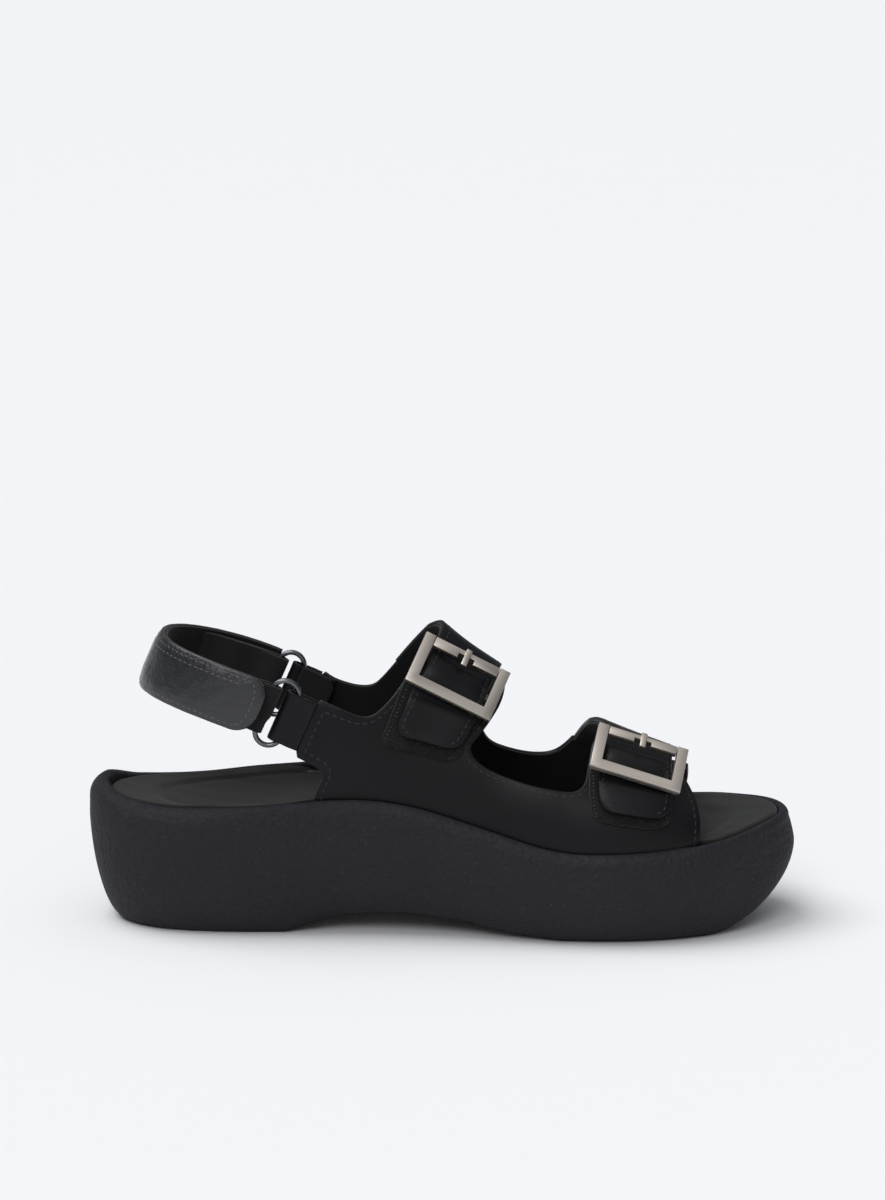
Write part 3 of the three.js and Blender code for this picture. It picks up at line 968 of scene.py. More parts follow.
def steps_between(low: float, high: float, step: float) -> list[float]:
    """Returns evenly spaced values from low to high, about step apart."""
    count = max(round(abs(high - low) / step), 1)
    return [mix(low, high, i / count) for i in range(count + 1)]


# ---------------------------------------------------------------- the sole and the footbed


@dataclass
class SoleUnit:
    """The moulded wedge: a bulging wall, a rounded rim, a recess for the footbed and a barred tread."""

    finishes: Finishes
    around: int = 220
    wall_height: tuple[float, ...] = (0, 0.07, 0.2, 0.42, 0.68, 0.87)
    heel_inset: tuple[float, ...] = (11, 7.6, 4.5, 1.6, 0, 0)
    front_inset: tuple[float, ...] = (10, 6.2, 3.4, 1.2, 0, 0.6)
    tip_inset: tuple[float, ...] = (10, 3.6, 0.9, 0, 1, 2.2)
    wall_steps: int = 22
    rim_steps: int = 9
    crest_round: float = 1.3
    rim_starts: float = 0.87
    recess_inset: float = 12.0
    recess_shares: tuple[float, ...] = (0.02, 0.2, 0.4, 0.6, 0.78, 0.88, 0.905)
    bed_shares: tuple[float, ...] = (0.85, 0.6, 0.4, 0.2, 0.02)
    tread_depth: float = 1.4
    bar_runs: tuple[Point, ...] = ((-110, -70), (34, 108))
    bar_pitch: float = 7.4
    bar_width: float = 4.2
    bar_margin: float = 16.5

    def lip(self, x: float) -> float:
        """Returns how far in the rim's inner wall stands; it closes up where the upper tucks in."""
        upper = smoothstep(-54, -46, x) * smoothstep(97, 90, x)
        return PLAN.rim_inset(x) + 2.2 * upper

    def _wall(self, values: tuple[float, ...], s: float) -> float:
        """Returns a wall value at a share s of the way up."""
        knots = tuple((i / (len(values) - 1), value) for i, value in enumerate(values))
        return Curve(knots)(s)

    def _inset(self, s: float, x: float) -> float:
        """Returns the wall's inset at a share s of the way up, at x along the sole."""
        heel, front, tip = (self._wall(row, s) for row in (self.heel_inset, self.front_inset, self.tip_inset))
        return mix(mix(heel, front, smoothstep(-60, 60, x)), tip, smoothstep(104, 128, x))

    def _ring(
        self, inset: Callable[[float], float], height: Callable[[float], float], share: float = 1.0
    ) -> Callable[[float], Vector]:
        """Returns a ring's point by angle, from its inset and height along the sole."""

        def point(angle: float) -> Vector:
            """Returns the ring's point at an angle."""
            widest = PLAN.half_length * math.cos(angle)
            x, y = PLAN.outline(angle, inset(widest))
            return Vector((x * share, y * share, height(x * share)))

        return point

    def rings(self) -> list[Callable[[float], Vector]]:
        """Returns the rings from the middle of the underside over the rim to the middle of the recess."""
        rings = []
        for share in self.recess_shares:
            rings.append(
                self._ring(lambda x: self.recess_inset, lambda x: PLAN.ground(x) + self.tread_depth, share)
            )
        rings.append(self._ring(lambda x: self.recess_inset, PLAN.ground, 0.92))
        rings.append(self._ring(lambda x: self._inset(0, x) + 1, PLAN.ground))
        for i in range(self.wall_steps + 1):
            s = i / self.wall_steps
            height = self._wall(self.wall_height, s)
            rings.append(
                self._ring(
                    lambda x, s=s: self._inset(s, x),
                    lambda x, h=height: mix(PLAN.ground(x), PLAN.crest(x), h),
                )
            )
        for i in range(1, self.rim_steps + 1):
            turn = math.pi / 2 * i / self.rim_steps
            rings.append(
                self._ring(
                    lambda x, c=math.cos(turn): mix(
                        self._inset(1, x), self.lip(x) - self.crest_round, 1 - c
                    ),
                    lambda x, s=math.sin(turn): mix(
                        PLAN.ground(x), PLAN.crest(x), mix(self.rim_starts, 1, s)
                    ),
                )
            )
        for i in range(1, 5):
            turn = math.pi / 2 * i / 4
            rings.append(
                self._ring(
                    lambda x, s=math.sin(turn): self.lip(x) - self.crest_round * (1 - s),
                    lambda x, c=math.cos(turn): PLAN.crest(x) - self.crest_round * (1 - c),
                )
            )
        rings.append(self._ring(self.lip, lambda x: PLAN.bed(x) + 0.6))
        rings.append(self._ring(lambda x: self.lip(x) + 0.6, PLAN.bed))
        for share in self.bed_shares:
            rings.append(self._ring(lambda x: self.lip(x) + 0.6, PLAN.bed, share))
        return rings

    def tread_bars(self, bm: bmesh.types.BMesh) -> None:
        """Adds the wavy bars under the heel and the forefoot."""
        for low, high in self.bar_runs:
            for x in steps_between(low, high, self.bar_pitch):
                near = -PLAN.half_width(x, Side.NEAR) + self.bar_margin
                far = PLAN.half_width(x, Side.FAR) - self.bar_margin
                bar = bmesh.new()
                size = (self.bar_width, far - near, self.tread_depth + 1)
                block(bar, size, (x, (near + far) / 2, 0), 0.5)
                long_edges = [e for e in bar.edges if abs(e.verts[0].co.y - e.verts[1].co.y) > 10]
                bmesh.ops.subdivide_edges(bar, edges=long_edges, cuts=24, use_grid_fill=True)
                for vert in bar.verts:
                    vert.co.x += 1.5 * math.cos(vert.co.y * 0.26)
                    vert.co.z += PLAN.ground(vert.co.x) + (self.tread_depth + 1) / 2
                join(bm, bar)

    def build(self) -> None:
        """Builds the sole and dresses the shank and the board that it hides."""
        bm = loft(self.rings(), self.around)
        self.tread_bars(bm)
        attach(finish_mesh(bm, "sole_unit", self.finishes["moulded_sole"], 70), "shoe", "sole", "wedge_sole")
        for node, finish in (("shank", "plain_steel"), ("insole_board", "fibre_board")):
            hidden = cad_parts[node]
            hidden.data.materials.clear()
            hidden.data.materials.append(self.finishes[finish])


@dataclass
class Footbed:
    """The dished footbed: a foam core under a napped cover with a raised border."""

    finishes: Finishes
    sole: SoleUnit
    core_bottom: float = 2.8
    cover_top: float = 8.8
    gauge: float = 1.0
    dish: float = 2.6
    skirt: float = 5.0
    turn_radius: float = 1.6
    flat_to: float = 0.9
    border: float = 0.87
    border_rise: float = 0.8

    def inset(self, x: float) -> float:
        """Returns the cover's inset, which leaves room for the upper to tuck in."""
        upper = smoothstep(-60, -50, x) * smoothstep(104, 96, x)
        return mix(self.sole.lip(x) + 0.5, 10.0, upper)

    def surface(self, a: float, b: float, shrink: float) -> Vector:
        """Returns the cover's point for a place in the unit square, taken inwards by a distance."""
        u, v = a * math.sqrt(1 - b * b / 2), b * math.sqrt(1 - a * a / 2)
        share = max(math.hypot(u, v), 1e-9)
        angle = math.atan2(v / share, u / share)
        drop = 0.0
        if share > self.flat_to:
            reach = math.pi / 2 * self.turn_radius
            run = (share - self.flat_to) / (1 - self.flat_to) * (reach + self.skirt)
            turn = min(run / self.turn_radius, math.pi / 2)
            drop = self.turn_radius * (1 - math.cos(turn)) + max(run - reach, 0)
            inward = self.turn_radius * (1 - math.sin(turn))
        else:
            inward = self.turn_radius
        r = min(share / self.flat_to, 1)
        widest = PLAN.half_length * math.cos(angle)
        x, y = PLAN.outline(angle, self.inset(widest) + inward + shrink)
        x, y = x * r, y * r
        hollow = self.dish * (1 - r**4)
        border = self.border_rise * smoothstep(self.border - 0.025, self.border + 0.03, r)
        crease = 0.35 * math.exp(-(((r - self.border + 0.012) / 0.012) ** 2))
        toe_crease = 0.5 * math.exp(-(((x - 103 + 0.004 * y * y) / 1.1) ** 2)) * (1 - r**8)
        ripple = 0.12 * math.sin(x * 0.31 + y * 0.2) * math.sin(y * 0.23 - x * 0.05)
        top = self.cover_top - hollow + border - crease - toe_crease + ripple
        return Vector((x, y, PLAN.bed(x) + top - drop - shrink))

    def _stations(self, count: int) -> list[float]:
        """Returns stations from -1 to 1, closer together near the border."""
        return [math.copysign(1 - (1 - abs(t)) ** 1.45, t) for t in steps_between(-1, 1, 2 / count)]

    def build(self) -> None:
        """Builds the core and the cover."""
        core = Panel(self._stations(60), self._stations(26))

        def fill(a: float, b: float, deep: float) -> Vector:
            """Returns the core's point."""
            top = self.surface(a * 0.93, b * 0.93, self.gauge + 0.25)
            return top if deep < 0.5 else Vector((top.x, top.y, PLAN.bed(top.x) + self.core_bottom))

        piece = finish_mesh(core.lay(fill, 0), "footbed_padding", self.finishes["footbed_foam"])
        attach(piece, "shoe", "foam", "footbed_core")

        cover = Panel(self._stations(150), self._stations(64))
        bm = cover.lay(lambda a, b, deep: self.surface(a, b, self.gauge * deep), 0.3)
        piece = finish_mesh(bm, "footbed_top", self.finishes["footbed_suede"])
        declare(cover, 94, 0.85)
        attach(piece, "shoe", "footbed", "footbed_cover")


# ---------------------------------------------------------------- the upper

SPLIT = 132.0
FACE, BACK = 2.9, 1.15
LINING_FACE, LINING_BACK = 1.1, 0.1


def ring_thinning(base: float, around: float) -> float:
    """Returns how far the upper draws in towards the foot where it runs into the fold at the ring."""
    at = FORM.point(base, around)
    ahead = 0.9165 * (at.x + 56.2) - 0.4 * (at.z - 81.2)
    return 1.3 * smoothstep(17, 7.5, ahead)


@dataclass
class Quarter:
    """One side of the upper: leather over a lining, tucked in behind the sole's rim."""

    side: Side
    corners: tuple[tuple[float, ...], ...]
    finishes: Finishes
    cell: float = 1.25
    seam_depth: float = 2.1
    near_limit: float = 84.0
    far_gap: float = 0.3

    @property
    def label(self) -> str:
        """Returns the side's name in the CAD nodes."""
        return "lateral" if self.side is Side.NEAR else "medial"

    def field(self) -> Outline:
        """Returns the outline as base stations and angles round the foot."""
        line = spaced(rounded(self.corners, 6), self.cell)
        stations = [FORM.station(x, z) for x, z in line]
        limit = self.near_limit if self.side is Side.NEAR else 180 - SPLIT - self.far_gap
        stations = clipped(clipped(stations, limit, True), 0, False)
        if self.side is Side.FAR:
            stations = [(base, 180 - around) for base, around in stations]
        return Outline(stations)

    def panel(self, outline: Outline) -> Panel:
        """Returns the flat grid, trimmed to the outline."""
        points = np.array(outline.points)
        low, high = points.min(axis=0) - 2, points.max(axis=0) + 2
        columns = steps_between(low[0], high[0], self.cell)
        rows = steps_between(low[1], high[1], self.cell)
        return Panel(columns, rows).trim(outline)

    def build(self) -> None:
        """Builds the leather, the lining and the stitches."""
        outline = self.field()

        def leather(base: float, around: float, deep: float) -> Vector:
            """Returns the leather's point."""
            return FORM.off(base, around, mix(FACE, BACK, deep) - ring_thinning(base, around))

        def lining(base: float, around: float, deep: float) -> Vector:
            """Returns the lining's point, drawn in with the leather."""
            level = mix(LINING_FACE, LINING_BACK, deep)
            return FORM.off(base, around, level - ring_thinning(base, around))

        for place, round_off, name, finish, slot, node in (
            (leather, 0.35, "upper", "smooth_leather", "leather", "quarter"),
            (lining, 0.25, "upper_lining", "lining_cloth", "lining", "lining"),
        ):
            panel = self.panel(outline)
            piece = finish_mesh(panel.lay(place, round_off), f"{self.label}_{name}", self.finishes[finish])
            declare(panel, 75, 0.6)
            attach(piece, "shoe", slot, f"{self.label}_{node}")
        seam = Seam().row(outline.inset(self.seam_depth), leather)
        attach(seam.piece(f"{self.label}_upper_stitches", self.finishes["thread"]), "shoe", "leather")


@dataclass(frozen=True)
class Seat:
    """Where a buckle sits on its strap: its base station and angle, and how far it is turned and tilted."""

    base: float
    around: float
    twist: float
    tilt: float


@dataclass
class Strap:
    """An upper strap: it leaves the far side, crosses the foot, runs through its buckle and ends."""

    name: str
    low: float
    high: float
    end: float
    slim: Curve
    settle: Curve
    seat: Seat
    finishes: Finishes
    gauge: float = 1.9
    corner: float = 5.2
    raised: float = 7.4
    bulge: float = 1.7
    window: float = 6.2
    lift: Point = (72, 112)
    bend_from: float = 128.0
    lining_end: float = 76.0
    hooks_from: float = 46.0
    hooks_share: float = 0.93
    patch_from: float = 53.0
    patch_below: float = 4.6
    patch_corner: float = 5.0
    tufts: int = 1300
    columns: int = 22

    def half(self, around: float) -> float:
        """Returns half the strap's width, in base stations."""
        return (self.high - self.low) / 2 * self.slim(around)

    def middle(self, around: float) -> float:
        """Returns the strap's middle base station."""
        return (self.low + self.high) / 2 + self.settle(around)

    def pace(self, around: float) -> float:
        """Returns the length round the foot of one degree along the strap's middle."""
        base = self.middle(around)
        step = FORM.off(base, around + 1, self.raised) - FORM.off(base, around - 1, self.raised)
        return step.length / 2

    def stride(self, around: float) -> float:
        """Returns the length along the foot of one base station at the strap's middle."""
        base = self.middle(around)
        return (FORM.point(base + 1, around) - FORM.point(base - 1, around)).length / 2

    def face(self, across: float, around: float) -> float:
        """Returns how far the leather's face stands off the foot's surface."""
        level = mix(self.raised, FACE, smoothstep(*self.lift, around))
        along = (around - self.seat.around) * self.pace(60)
        swell = self.bulge * max(1 - (along / self.window) ** 2, 0) ** 0.8
        tab = 0.9 * smoothstep(-10.5, -13.5, along) - 0.7 * smoothstep(-13, -23, along)
        crown = -0.5 * abs(across) ** 6 * smoothstep(100, 80, around)
        return level + swell * (1 - abs(across) ** 4) + tab + crown

    def narrowing(self, around: float, corner: float, end: float) -> float:
        """Returns the share of the width left at an angle by the tab's rounded corners."""
        away = (around - end) * self.pace(end)
        if away >= corner:
            return 1.0
        lost = corner_loss(corner, max(away, 0))
        return 1 - lost / (self.half(around) * self.stride(around))

    def place(self, across: float, around: float, deep: float) -> Vector:
        """Returns the leather's point."""
        half = self.half(around) * self.narrowing(around, self.corner, self.end)
        base = self.middle(around) + across * half
        return FORM.off(base, around, self.face(across, around) - self.gauge * deep)

    def rows(self, start: float, end: float, corner: float, step: float = 1.1) -> list[float]:
        """Returns the angles of a panel's rows, closing up round the corners at its end."""
        pace = self.pace(end)
        straight = steps_between(start, end + corner / pace, step)
        turns = [corner * (1 - math.sin(math.pi / 2 * i / 8)) for i in range(1, 9)]
        return straight + [end + max(turn, 0.02) / pace for turn in turns]

    def bend(self, piece: bpy.types.Object, slot: str, *nodes: str) -> None:
        """Bakes a piece's placing into its mesh and hides the CAD nodes that it stands for; the line where
        the strap leaves the upper is worked out but not used.
        """
        start, end = (
            FORM.off(self.middle(around), around, 3) * MM for around in (self.bend_from, self.lift[1])
        )
        tuple(start)
        tuple(end)
        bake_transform(piece)
        if nodes:
            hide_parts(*nodes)
        LOG.info("%s bends into the %s strap", piece.name, self.name)

    def seam_line(self, depth: float, start: float) -> list[Point]:
        """Returns the stitch line down both sides and round the tab, as stations."""
        end = self.end + depth / self.pace(self.end)
        corner = self.corner - depth
        line: list[Point] = []
        for around in self.rows(start, end, corner):
            here = self.half(around) * self.narrowing(around, self.corner, self.end)
            room = self.half(around) * self.narrowing(around, corner, end) - depth / self.stride(around)
            line.append((room / here, around))
        return line + [(-across, around) for across, around in reversed(line)]

    def leather(self) -> None:
        """Builds the strap's leather, its lining and its stitches."""
        columns = steps_between(-1, 1, 2 / self.columns)
        panel = Panel(columns, self.rows(SPLIT, self.end, self.corner))
        bm = panel.lay(self.place, 0.4, 3)
        piece = finish_mesh(bm, f"{self.name}_strap_leather", self.finishes["smooth_leather"])
        declare(panel, 40, 0.85)
        self.bend(piece, "leather", f"{self.name}_strap")

        def lining(across: float, around: float, deep: float) -> Vector:
            """Returns the lining's point, close under the leather but flat through the buckle."""
            base = self.middle(around) + across * self.half(around) * 0.985
            outer = min(self.face(across, around) - self.gauge - 0.02, self.raised - self.gauge)
            return FORM.off(base, around, outer - deep)

        panel = Panel(columns, steps_between(SPLIT, self.lining_end, 1.4))
        bm = panel.lay(lining, 0.25)
        piece = finish_mesh(bm, f"{self.name}_strap_backing", self.finishes["lining_cloth"])
        declare(panel, 38, 0.9)
        self.bend(piece, "lining", f"{self.name}_strap_lining")
        seam = Seam(1.9, 0.28, 2.7).row(self.seam_line(1.9, 118), self.place)
        self.bend(seam.piece(f"{self.name}_strap_stitches", self.finishes["thread"]), "leather")

    def hook_pad(self) -> None:
        """Builds the hook patch under the tab."""
        end, corner = self.end + 1, 4.0
        hooks = Panel(steps_between(-1, 1, 0.12), self.rows(self.hooks_from, end, corner))

        def hook_place(across: float, around: float, deep: float) -> Vector:
            """Returns the hook patch's point."""
            share = self.hooks_share * self.narrowing(around, corner, end)
            base = self.middle(around) + across * self.half(around) * share
            return FORM.off(base, around, mix(5.4, 4.5, deep))

        bm = hooks.lay(hook_place, 0.2)
        piece = finish_mesh(bm, f"{self.name}_hook_pad", self.finishes["pile"])
        declare(hooks, 14, 0.95)
        attach(piece, f"{self.name}_strap", "pile", f"{self.name}_hook_patch")

    def loop_pad(self) -> None:
        """Builds the fuzzy loop patch that shows round the tab, its tufts and its stitches."""
        end, corner = self.end - self.patch_below, self.patch_corner
        chance = random.Random(7)
        fuzz: dict[Point, float] = {}

        def loop_place(across: float, around: float, deep: float) -> Vector:
            """Returns the loop patch's point, with a face that is rough from place to place."""
            share = self.narrowing(around, corner, end)
            base = self.middle(around) - 0.9 + across * (self.half(around) * 1.12 + 0.6) * share
            key = (round(across, 4), round(around, 4))
            fuzz.setdefault(key, chance.uniform(-0.25, 0.3))
            rough = fuzz[key] if deep < 0.5 else 0
            return FORM.off(base, around, mix(4.3 + rough, 3.0, deep))

        loops = Panel(steps_between(-1, 1, 0.035), self.rows(self.patch_from, end, corner, 0.75))
        bm = loops.lay(loop_place, 0.2)
        piece = finish_mesh(bm, f"{self.name}_fuzzy_patch", self.finishes["pile"], 180)
        declare(loops, 31, 0.95)
        attach(piece, "shoe", "pile", f"{self.name}_loop_patch")

        tufts = bmesh.new()
        for _ in range(self.tufts):
            across = chance.uniform(-0.97, 0.97)
            around = mix(end + 0.6, self.patch_from, chance.random() ** 1.3)
            at = loop_place(across, around, 0)
            out = face_normal(loop_place, across, around, 0.3)
            out += Vector([chance.uniform(-0.8, 0.8) for _ in range(3)])
            turn = out.normalized().to_track_quat("Z", "Y").to_matrix().to_4x4()
            length = chance.uniform(0.35, 0.8)
            matrix = Matrix.Translation(at + out.normalized() * length * 0.35) @ turn
            bmesh.ops.create_cone(
                tufts, cap_ends=True, segments=3, radius1=0.11, radius2=0.03, depth=length, matrix=matrix
            )
        attach(finish_mesh(tufts, f"{self.name}_fuzz", self.finishes["fuzz"], 180), "shoe", "pile")
        line = self.patch_line(end, corner)
        seam = Seam(0.8, 0.2, 1.5).row(line, loop_place, -0.1)
        attach(seam.piece(f"{self.name}_patch_stitches", self.finishes["pale_thread"]), "shoe", "pile")

    def patch_line(self, end: float, corner: float) -> list[Point]:
        """Returns a stitch line a little inside the fuzzy patch's lower border."""
        inner, side = end + 1.6 / self.pace(end), 0.97 * 0.93
        line = [(side, around) for around in self.rows(self.patch_from - 2, inner, corner)]
        return line + [(-across, around) for across, around in reversed(line)]

    def build(self) -> None:
        """Builds the whole strap."""
        self.hook_pad()
        self.loop_pad()
        self.leather()


@dataclass
class Buckle:
    """A flat rectangular buckle: an open frame, a notched top bar, a hidden bar and a short prong."""

    strap: Strap
    finishes: Finishes
    length: float = 34.5
    width: float = 21.0
    bar: float = 4.0
    depth: float = 3.1
    stand: float = 0.8
    post: float = 1.7

    def matrix(self) -> Matrix:
        """Returns the buckle's own frame: along the foot, up the strap and out."""
        seat = self.strap.seat
        along, _, out = FORM.axes(seat.base, seat.around)
        up = out.cross(along).normalized()
        at = FORM.off(seat.base, seat.around, self.strap.raised + self.stand)
        twist = Matrix.Rotation(math.radians(seat.twist), 4, "Z")
        tilt = Matrix.Rotation(math.radians(seat.tilt), 4, "X")
        return Matrix.Translation(at) @ Matrix((along, up, out)).transposed().to_4x4() @ twist @ tilt

    def _plate(
        self,
        columns: Sequence[float],
        rows: Sequence[float],
        hole: Callable[[float, float], bool],
        heights: Point,
        round_off: float,
    ) -> bmesh.types.BMesh:
        """Makes a flat plate with one cell cut out.

        Args:
            columns: The plate's lines across.
            rows: The plate's lines up.
            hole: Tells from a cell's middle whether the cell is the one cut out.
            heights: The plate's bottom and top.
            round_off: Size of the rounding of its edges.

        Returns:
            The closed plate.
        """
        bottom, top = heights
        panel = Panel(columns, rows).punch(hole)
        return panel.lay(lambda u, v, deep: Vector((u, v, mix(top, bottom, deep))), round_off, 2)

    def build(self) -> None:
        """Builds the frame, the top bar and the prong."""
        half, tall, inner = self.length / 2, self.width / 2, self.length / 2 - self.bar
        upper = self._plate(
            (-half, -inner, inner, half),
            (-tall, -tall + self.bar, tall),
            lambda u, v: abs(u) < 1 and v > 0,
            (0.9, self.depth),
            0.32,
        )
        lower = self._plate(
            (-half + 0.45, -inner - 0.1, inner + 0.1, half - 0.45),
            (-tall + 0.45, -tall + self.bar - 0.3, tall - 0.4),
            lambda u, v: abs(u) < 1 and v > 0,
            (-0.1, 1.0),
            0.15,
        )
        dip = self.strap.raised + self.stand - 3.9
        for s in (-1, 1):
            post_at = (s * (inner + self.post / 2 + 0.2), 0, (1 - dip) / 2)
            block(lower, (self.post, 3, dip + 1), post_at, 0.2)
        block(lower, (2 * inner + self.post, 2.6, 1.3), (0, 0, 0.65 - dip), 0.3)
        join(upper, lower)
        self._finish(upper, "frame_part", "strap", "frame")

        bar_low, bar_high = tall - 3.9, tall - 0.15
        bar = self._plate(
            (-inner + 0.25, -3.2, 3.2, inner - 0.25),
            (bar_low, bar_low + 1.9, bar_high),
            lambda u, v: abs(u) < 1 and v < bar_low + 1.5,
            (0.7, self.depth - 0.25),
            0.28,
        )
        self._finish(bar, "top_bar", "strap", "bar")

        prong = bmesh.new()
        block(prong, (2.3, 6.4, 1.5), (0, tall - 3.1, self.depth + 0.35), 0.35)
        block(prong, (2.3, 1.4, 3.2), (0, tall - 0.1, self.depth - 0.8), 0.35)
        self._finish(prong, "tongue", "prong", "prong")

    def _finish(self, bm: bmesh.types.BMesh, name: str, body: str, node: str) -> None:
        """Places a buckle part and rides it on its body.

        Args:
            bm: The part's mesh, in the buckle's own frame.
            name: The end of the piece's name.
            body: The end of the name of the body that carries it.
            node: The end of the name of the CAD node that it stands for.
        """
        bmesh.ops.transform(bm, matrix=self.matrix(), verts=bm.verts)
        strap = self.strap.name
        piece = finish_mesh(bm, f"{strap}_buckle_{name}", self.finishes["brushed_nickel"], 35)
        attach(piece, f"{strap}_{body}", "nickel", f"{strap}_buckle_{node}")


# ---------------------------------------------------------------- the rings and the heel strap


@dataclass(frozen=True)
class HeelForm:
    """The leaning frame of the rings and the heel strap: back along it, out to the near side, up."""

    at: tuple[float, float, float] = (-56.2, 25.2, 81.2)
    lean: float = math.atan2(8.6, 19.7)
    start: float = 10.0
    depth: float = 43.0
    half: float = 29.9
    square: float = 0.86
    droop_from: float = 12.0
    droop_reach: float = 44.0
    droop: float = 4.2

    def point(self, back: float, out: float, up: float) -> Vector:
        """Returns a point of the leaning frame, with the strap's droop, in the sandal's frame."""
        sin, cos = math.sin(self.lean), math.cos(self.lean)
        up -= self.droop * clamp((back - self.droop_from) / self.droop_reach) ** 1.5
        return Vector((self.at[0] - cos * back + sin * up, -out, self.at[2] + sin * back + cos * up))

    def band(self, turn: float, offset: float) -> Point:
        """Returns the heel strap's line at a turn round the heel, as distances back and out."""
        return (
            self.start + (self.depth + offset) * signed_power(math.sin(turn), self.square),
            (self.half + offset) * signed_power(math.cos(turn), self.square),
        )


HEEL = HeelForm()


@dataclass
class RingSet:
    """A wire ring, with the upper's loop round its front bar and the heel strap's tab round its rear."""

    side: Side
    finishes: Finishes
    length: float = 27.5
    width: float = 12.0
    wire: float = 2.0
    loop_radius: float = 1.45
    loop_gauge: float = 1.3
    loop_slack: float = 2.1
    loop_width: float = 19.5
    loop_outer_leg: float = 7.2
    near_inner_leg: float = 8.0
    far_inner_leg: float = 13.0
    tab_radius: float = 1.4
    tab_gauge: float = 1.3
    tab_width: float = 18.5

    @property
    def label(self) -> str:
        """Returns the side's name in the CAD nodes."""
        return "lateral" if self.side is Side.NEAR else "medial"

    def out(self, value: float) -> float:
        """Returns an outward distance on this ring's side of the leaning frame."""
        return value if self.side is Side.NEAR else -value

    def ring(self) -> None:
        """Builds the wire ring."""
        bars = self.width - self.wire
        straight = self.length - self.wire - bars
        path: list[Vector] = []
        for i in range(56):
            turn = 2 * math.pi * i / 56
            back = bars / 2 * (1 + math.sin(turn))
            up = bars / 2 * math.cos(turn) + math.copysign(straight / 2, math.cos(turn))
            path.append(HEEL.point(back, self.out(HEEL.at[1]), up))
        bm = sweep(path, self.wire / 2, 12)
        piece = finish_mesh(bm, f"{self.label}_wire_ring", self.finishes["dark_nickel"])
        attach(piece, "heel_strap", "dark_nickel", f"{self.label}_ring")

    def loop(self) -> None:
        """Builds the leather folded round the ring's front bar."""
        outer = self.loop_outer_leg
        inner = self.near_inner_leg if self.side is Side.NEAR else self.far_inner_leg
        turn_length = math.pi * (self.loop_radius + self.loop_gauge)
        straight_out = outer + self.loop_slack
        total = straight_out + turn_length + self.loop_slack + inner

        def place(run: float, up: float, deep: float) -> Vector:
            """Returns the loop's point: along its outer leg, round the bar and back along its inner leg."""
            radius = self.loop_radius + self.loop_gauge * (1 - deep)
            distance = run * total
            lift = 0.35 * math.exp(-(((distance - 3.5) / 1.8) ** 2)) * (1 - deep)
            if distance < straight_out:
                back, across = -outer + distance, radius + lift
            elif distance < straight_out + turn_length:
                turn = (distance - straight_out) / turn_length * math.pi
                back, across = self.loop_slack + radius * math.sin(turn), radius * math.cos(turn)
            else:
                back, across = self.loop_slack - (distance - straight_out - turn_length), -radius
            return HEEL.point(back, self.out(HEEL.at[1] + across), up)

        half = self.loop_width / 2
        panel = Panel(steps_between(0, 1, 0.6 / total), steps_between(-half, half, 1.3))
        bm = panel.lay(place, 0.35)
        piece = finish_mesh(bm, f"{self.label}_fold", self.finishes["smooth_leather"])
        declare(panel, self.loop_width)
        attach(piece, "shoe", "leather", f"{self.label}_ring_loop")

    def fold_back(self) -> None:
        """Builds the rough patch that covers the fold's inner leg on the far side."""
        radius = self.loop_radius + self.loop_gauge + 0.05
        length, half = 13.2, 9.5

        def place(ahead: float, up: float, deep: float) -> Vector:
            """Returns the patch's point."""
            corner = 3.0 * smoothstep(9.5, length, ahead) ** 2
            out = HEEL.at[1] - radius - 0.7 * (1 - deep)
            return HEEL.point(-ahead, self.out(out), up * (1 - corner / half))

        panel = Panel(steps_between(-0.5, length, 0.7), steps_between(-half, half, 1.0))
        piece = finish_mesh(panel.lay(place, 0.2), f"{self.label}_fold_back", self.finishes["rough_split"])
        declare(panel, 2 * half, 0.95)
        attach(piece, "shoe", "leather")

    def tab(self) -> None:
        """Builds the strip folded round the ring's rear bar, whose legs run behind the heel strap."""
        end = 0.23 * math.pi
        level = HEEL.at[1] - HEEL.half
        bar = self.width - self.wire

        def place(run: float, up: float, deep: float) -> Vector:
            """Returns the tab's point: down its outer leg, round the bar and up its inner leg."""
            radius = self.tab_radius + self.tab_gauge * (1 - deep)
            forward = 1.0 * smoothstep(-5.5, -1.5, up)
            if run < 1:
                turn = end * (1 - run)
                closing = smoothstep(0.1 * math.pi, end, turn)
                away = mix(radius, 3.4 + radius - self.tab_radius, closing)
                back, across = HEEL.band(turn, level + away)
                back -= forward * smoothstep(0.06 * math.pi, 0, turn)
            elif run < 2:
                spin = (run - 1) * math.pi
                back = bar - radius * math.sin(spin) - forward
                across = HEEL.at[1] + radius * math.cos(spin)
            else:
                turn = end * (run - 2)
                closed = smoothstep(0, 0.06 * math.pi, turn)
                away = mix(-radius, self.tab_radius - 0.1 - self.tab_gauge * (1 - deep), closed)
                follow = smoothstep(0.1 * math.pi, end, turn) * 3.4
                back, across = HEEL.band(turn, level + (away + follow))
                back -= forward * smoothstep(0.06 * math.pi, 0, turn)
            return HEEL.point(back, self.out(across), up)

        columns = steps_between(0, 1, 0.05) + steps_between(1, 2, 0.1)[1:] + steps_between(2, 3, 0.05)[1:]
        panel = Panel(columns, steps_between(-self.tab_width / 2, self.tab_width / 2, 1.2))
        bm = panel.lay(place, 0.3)
        piece = finish_mesh(bm, f"{self.label}_tab", self.finishes["rough_split"])
        declare(panel, self.tab_width)
        attach(piece, "heel_strap", "leather", f"{self.label}_ring_tab")

    def build(self) -> None:
        """Builds the ring, its loop and its tab."""
        self.ring()
        self.loop()
        if self.side is Side.FAR:
            self.fold_back()
        self.tab()


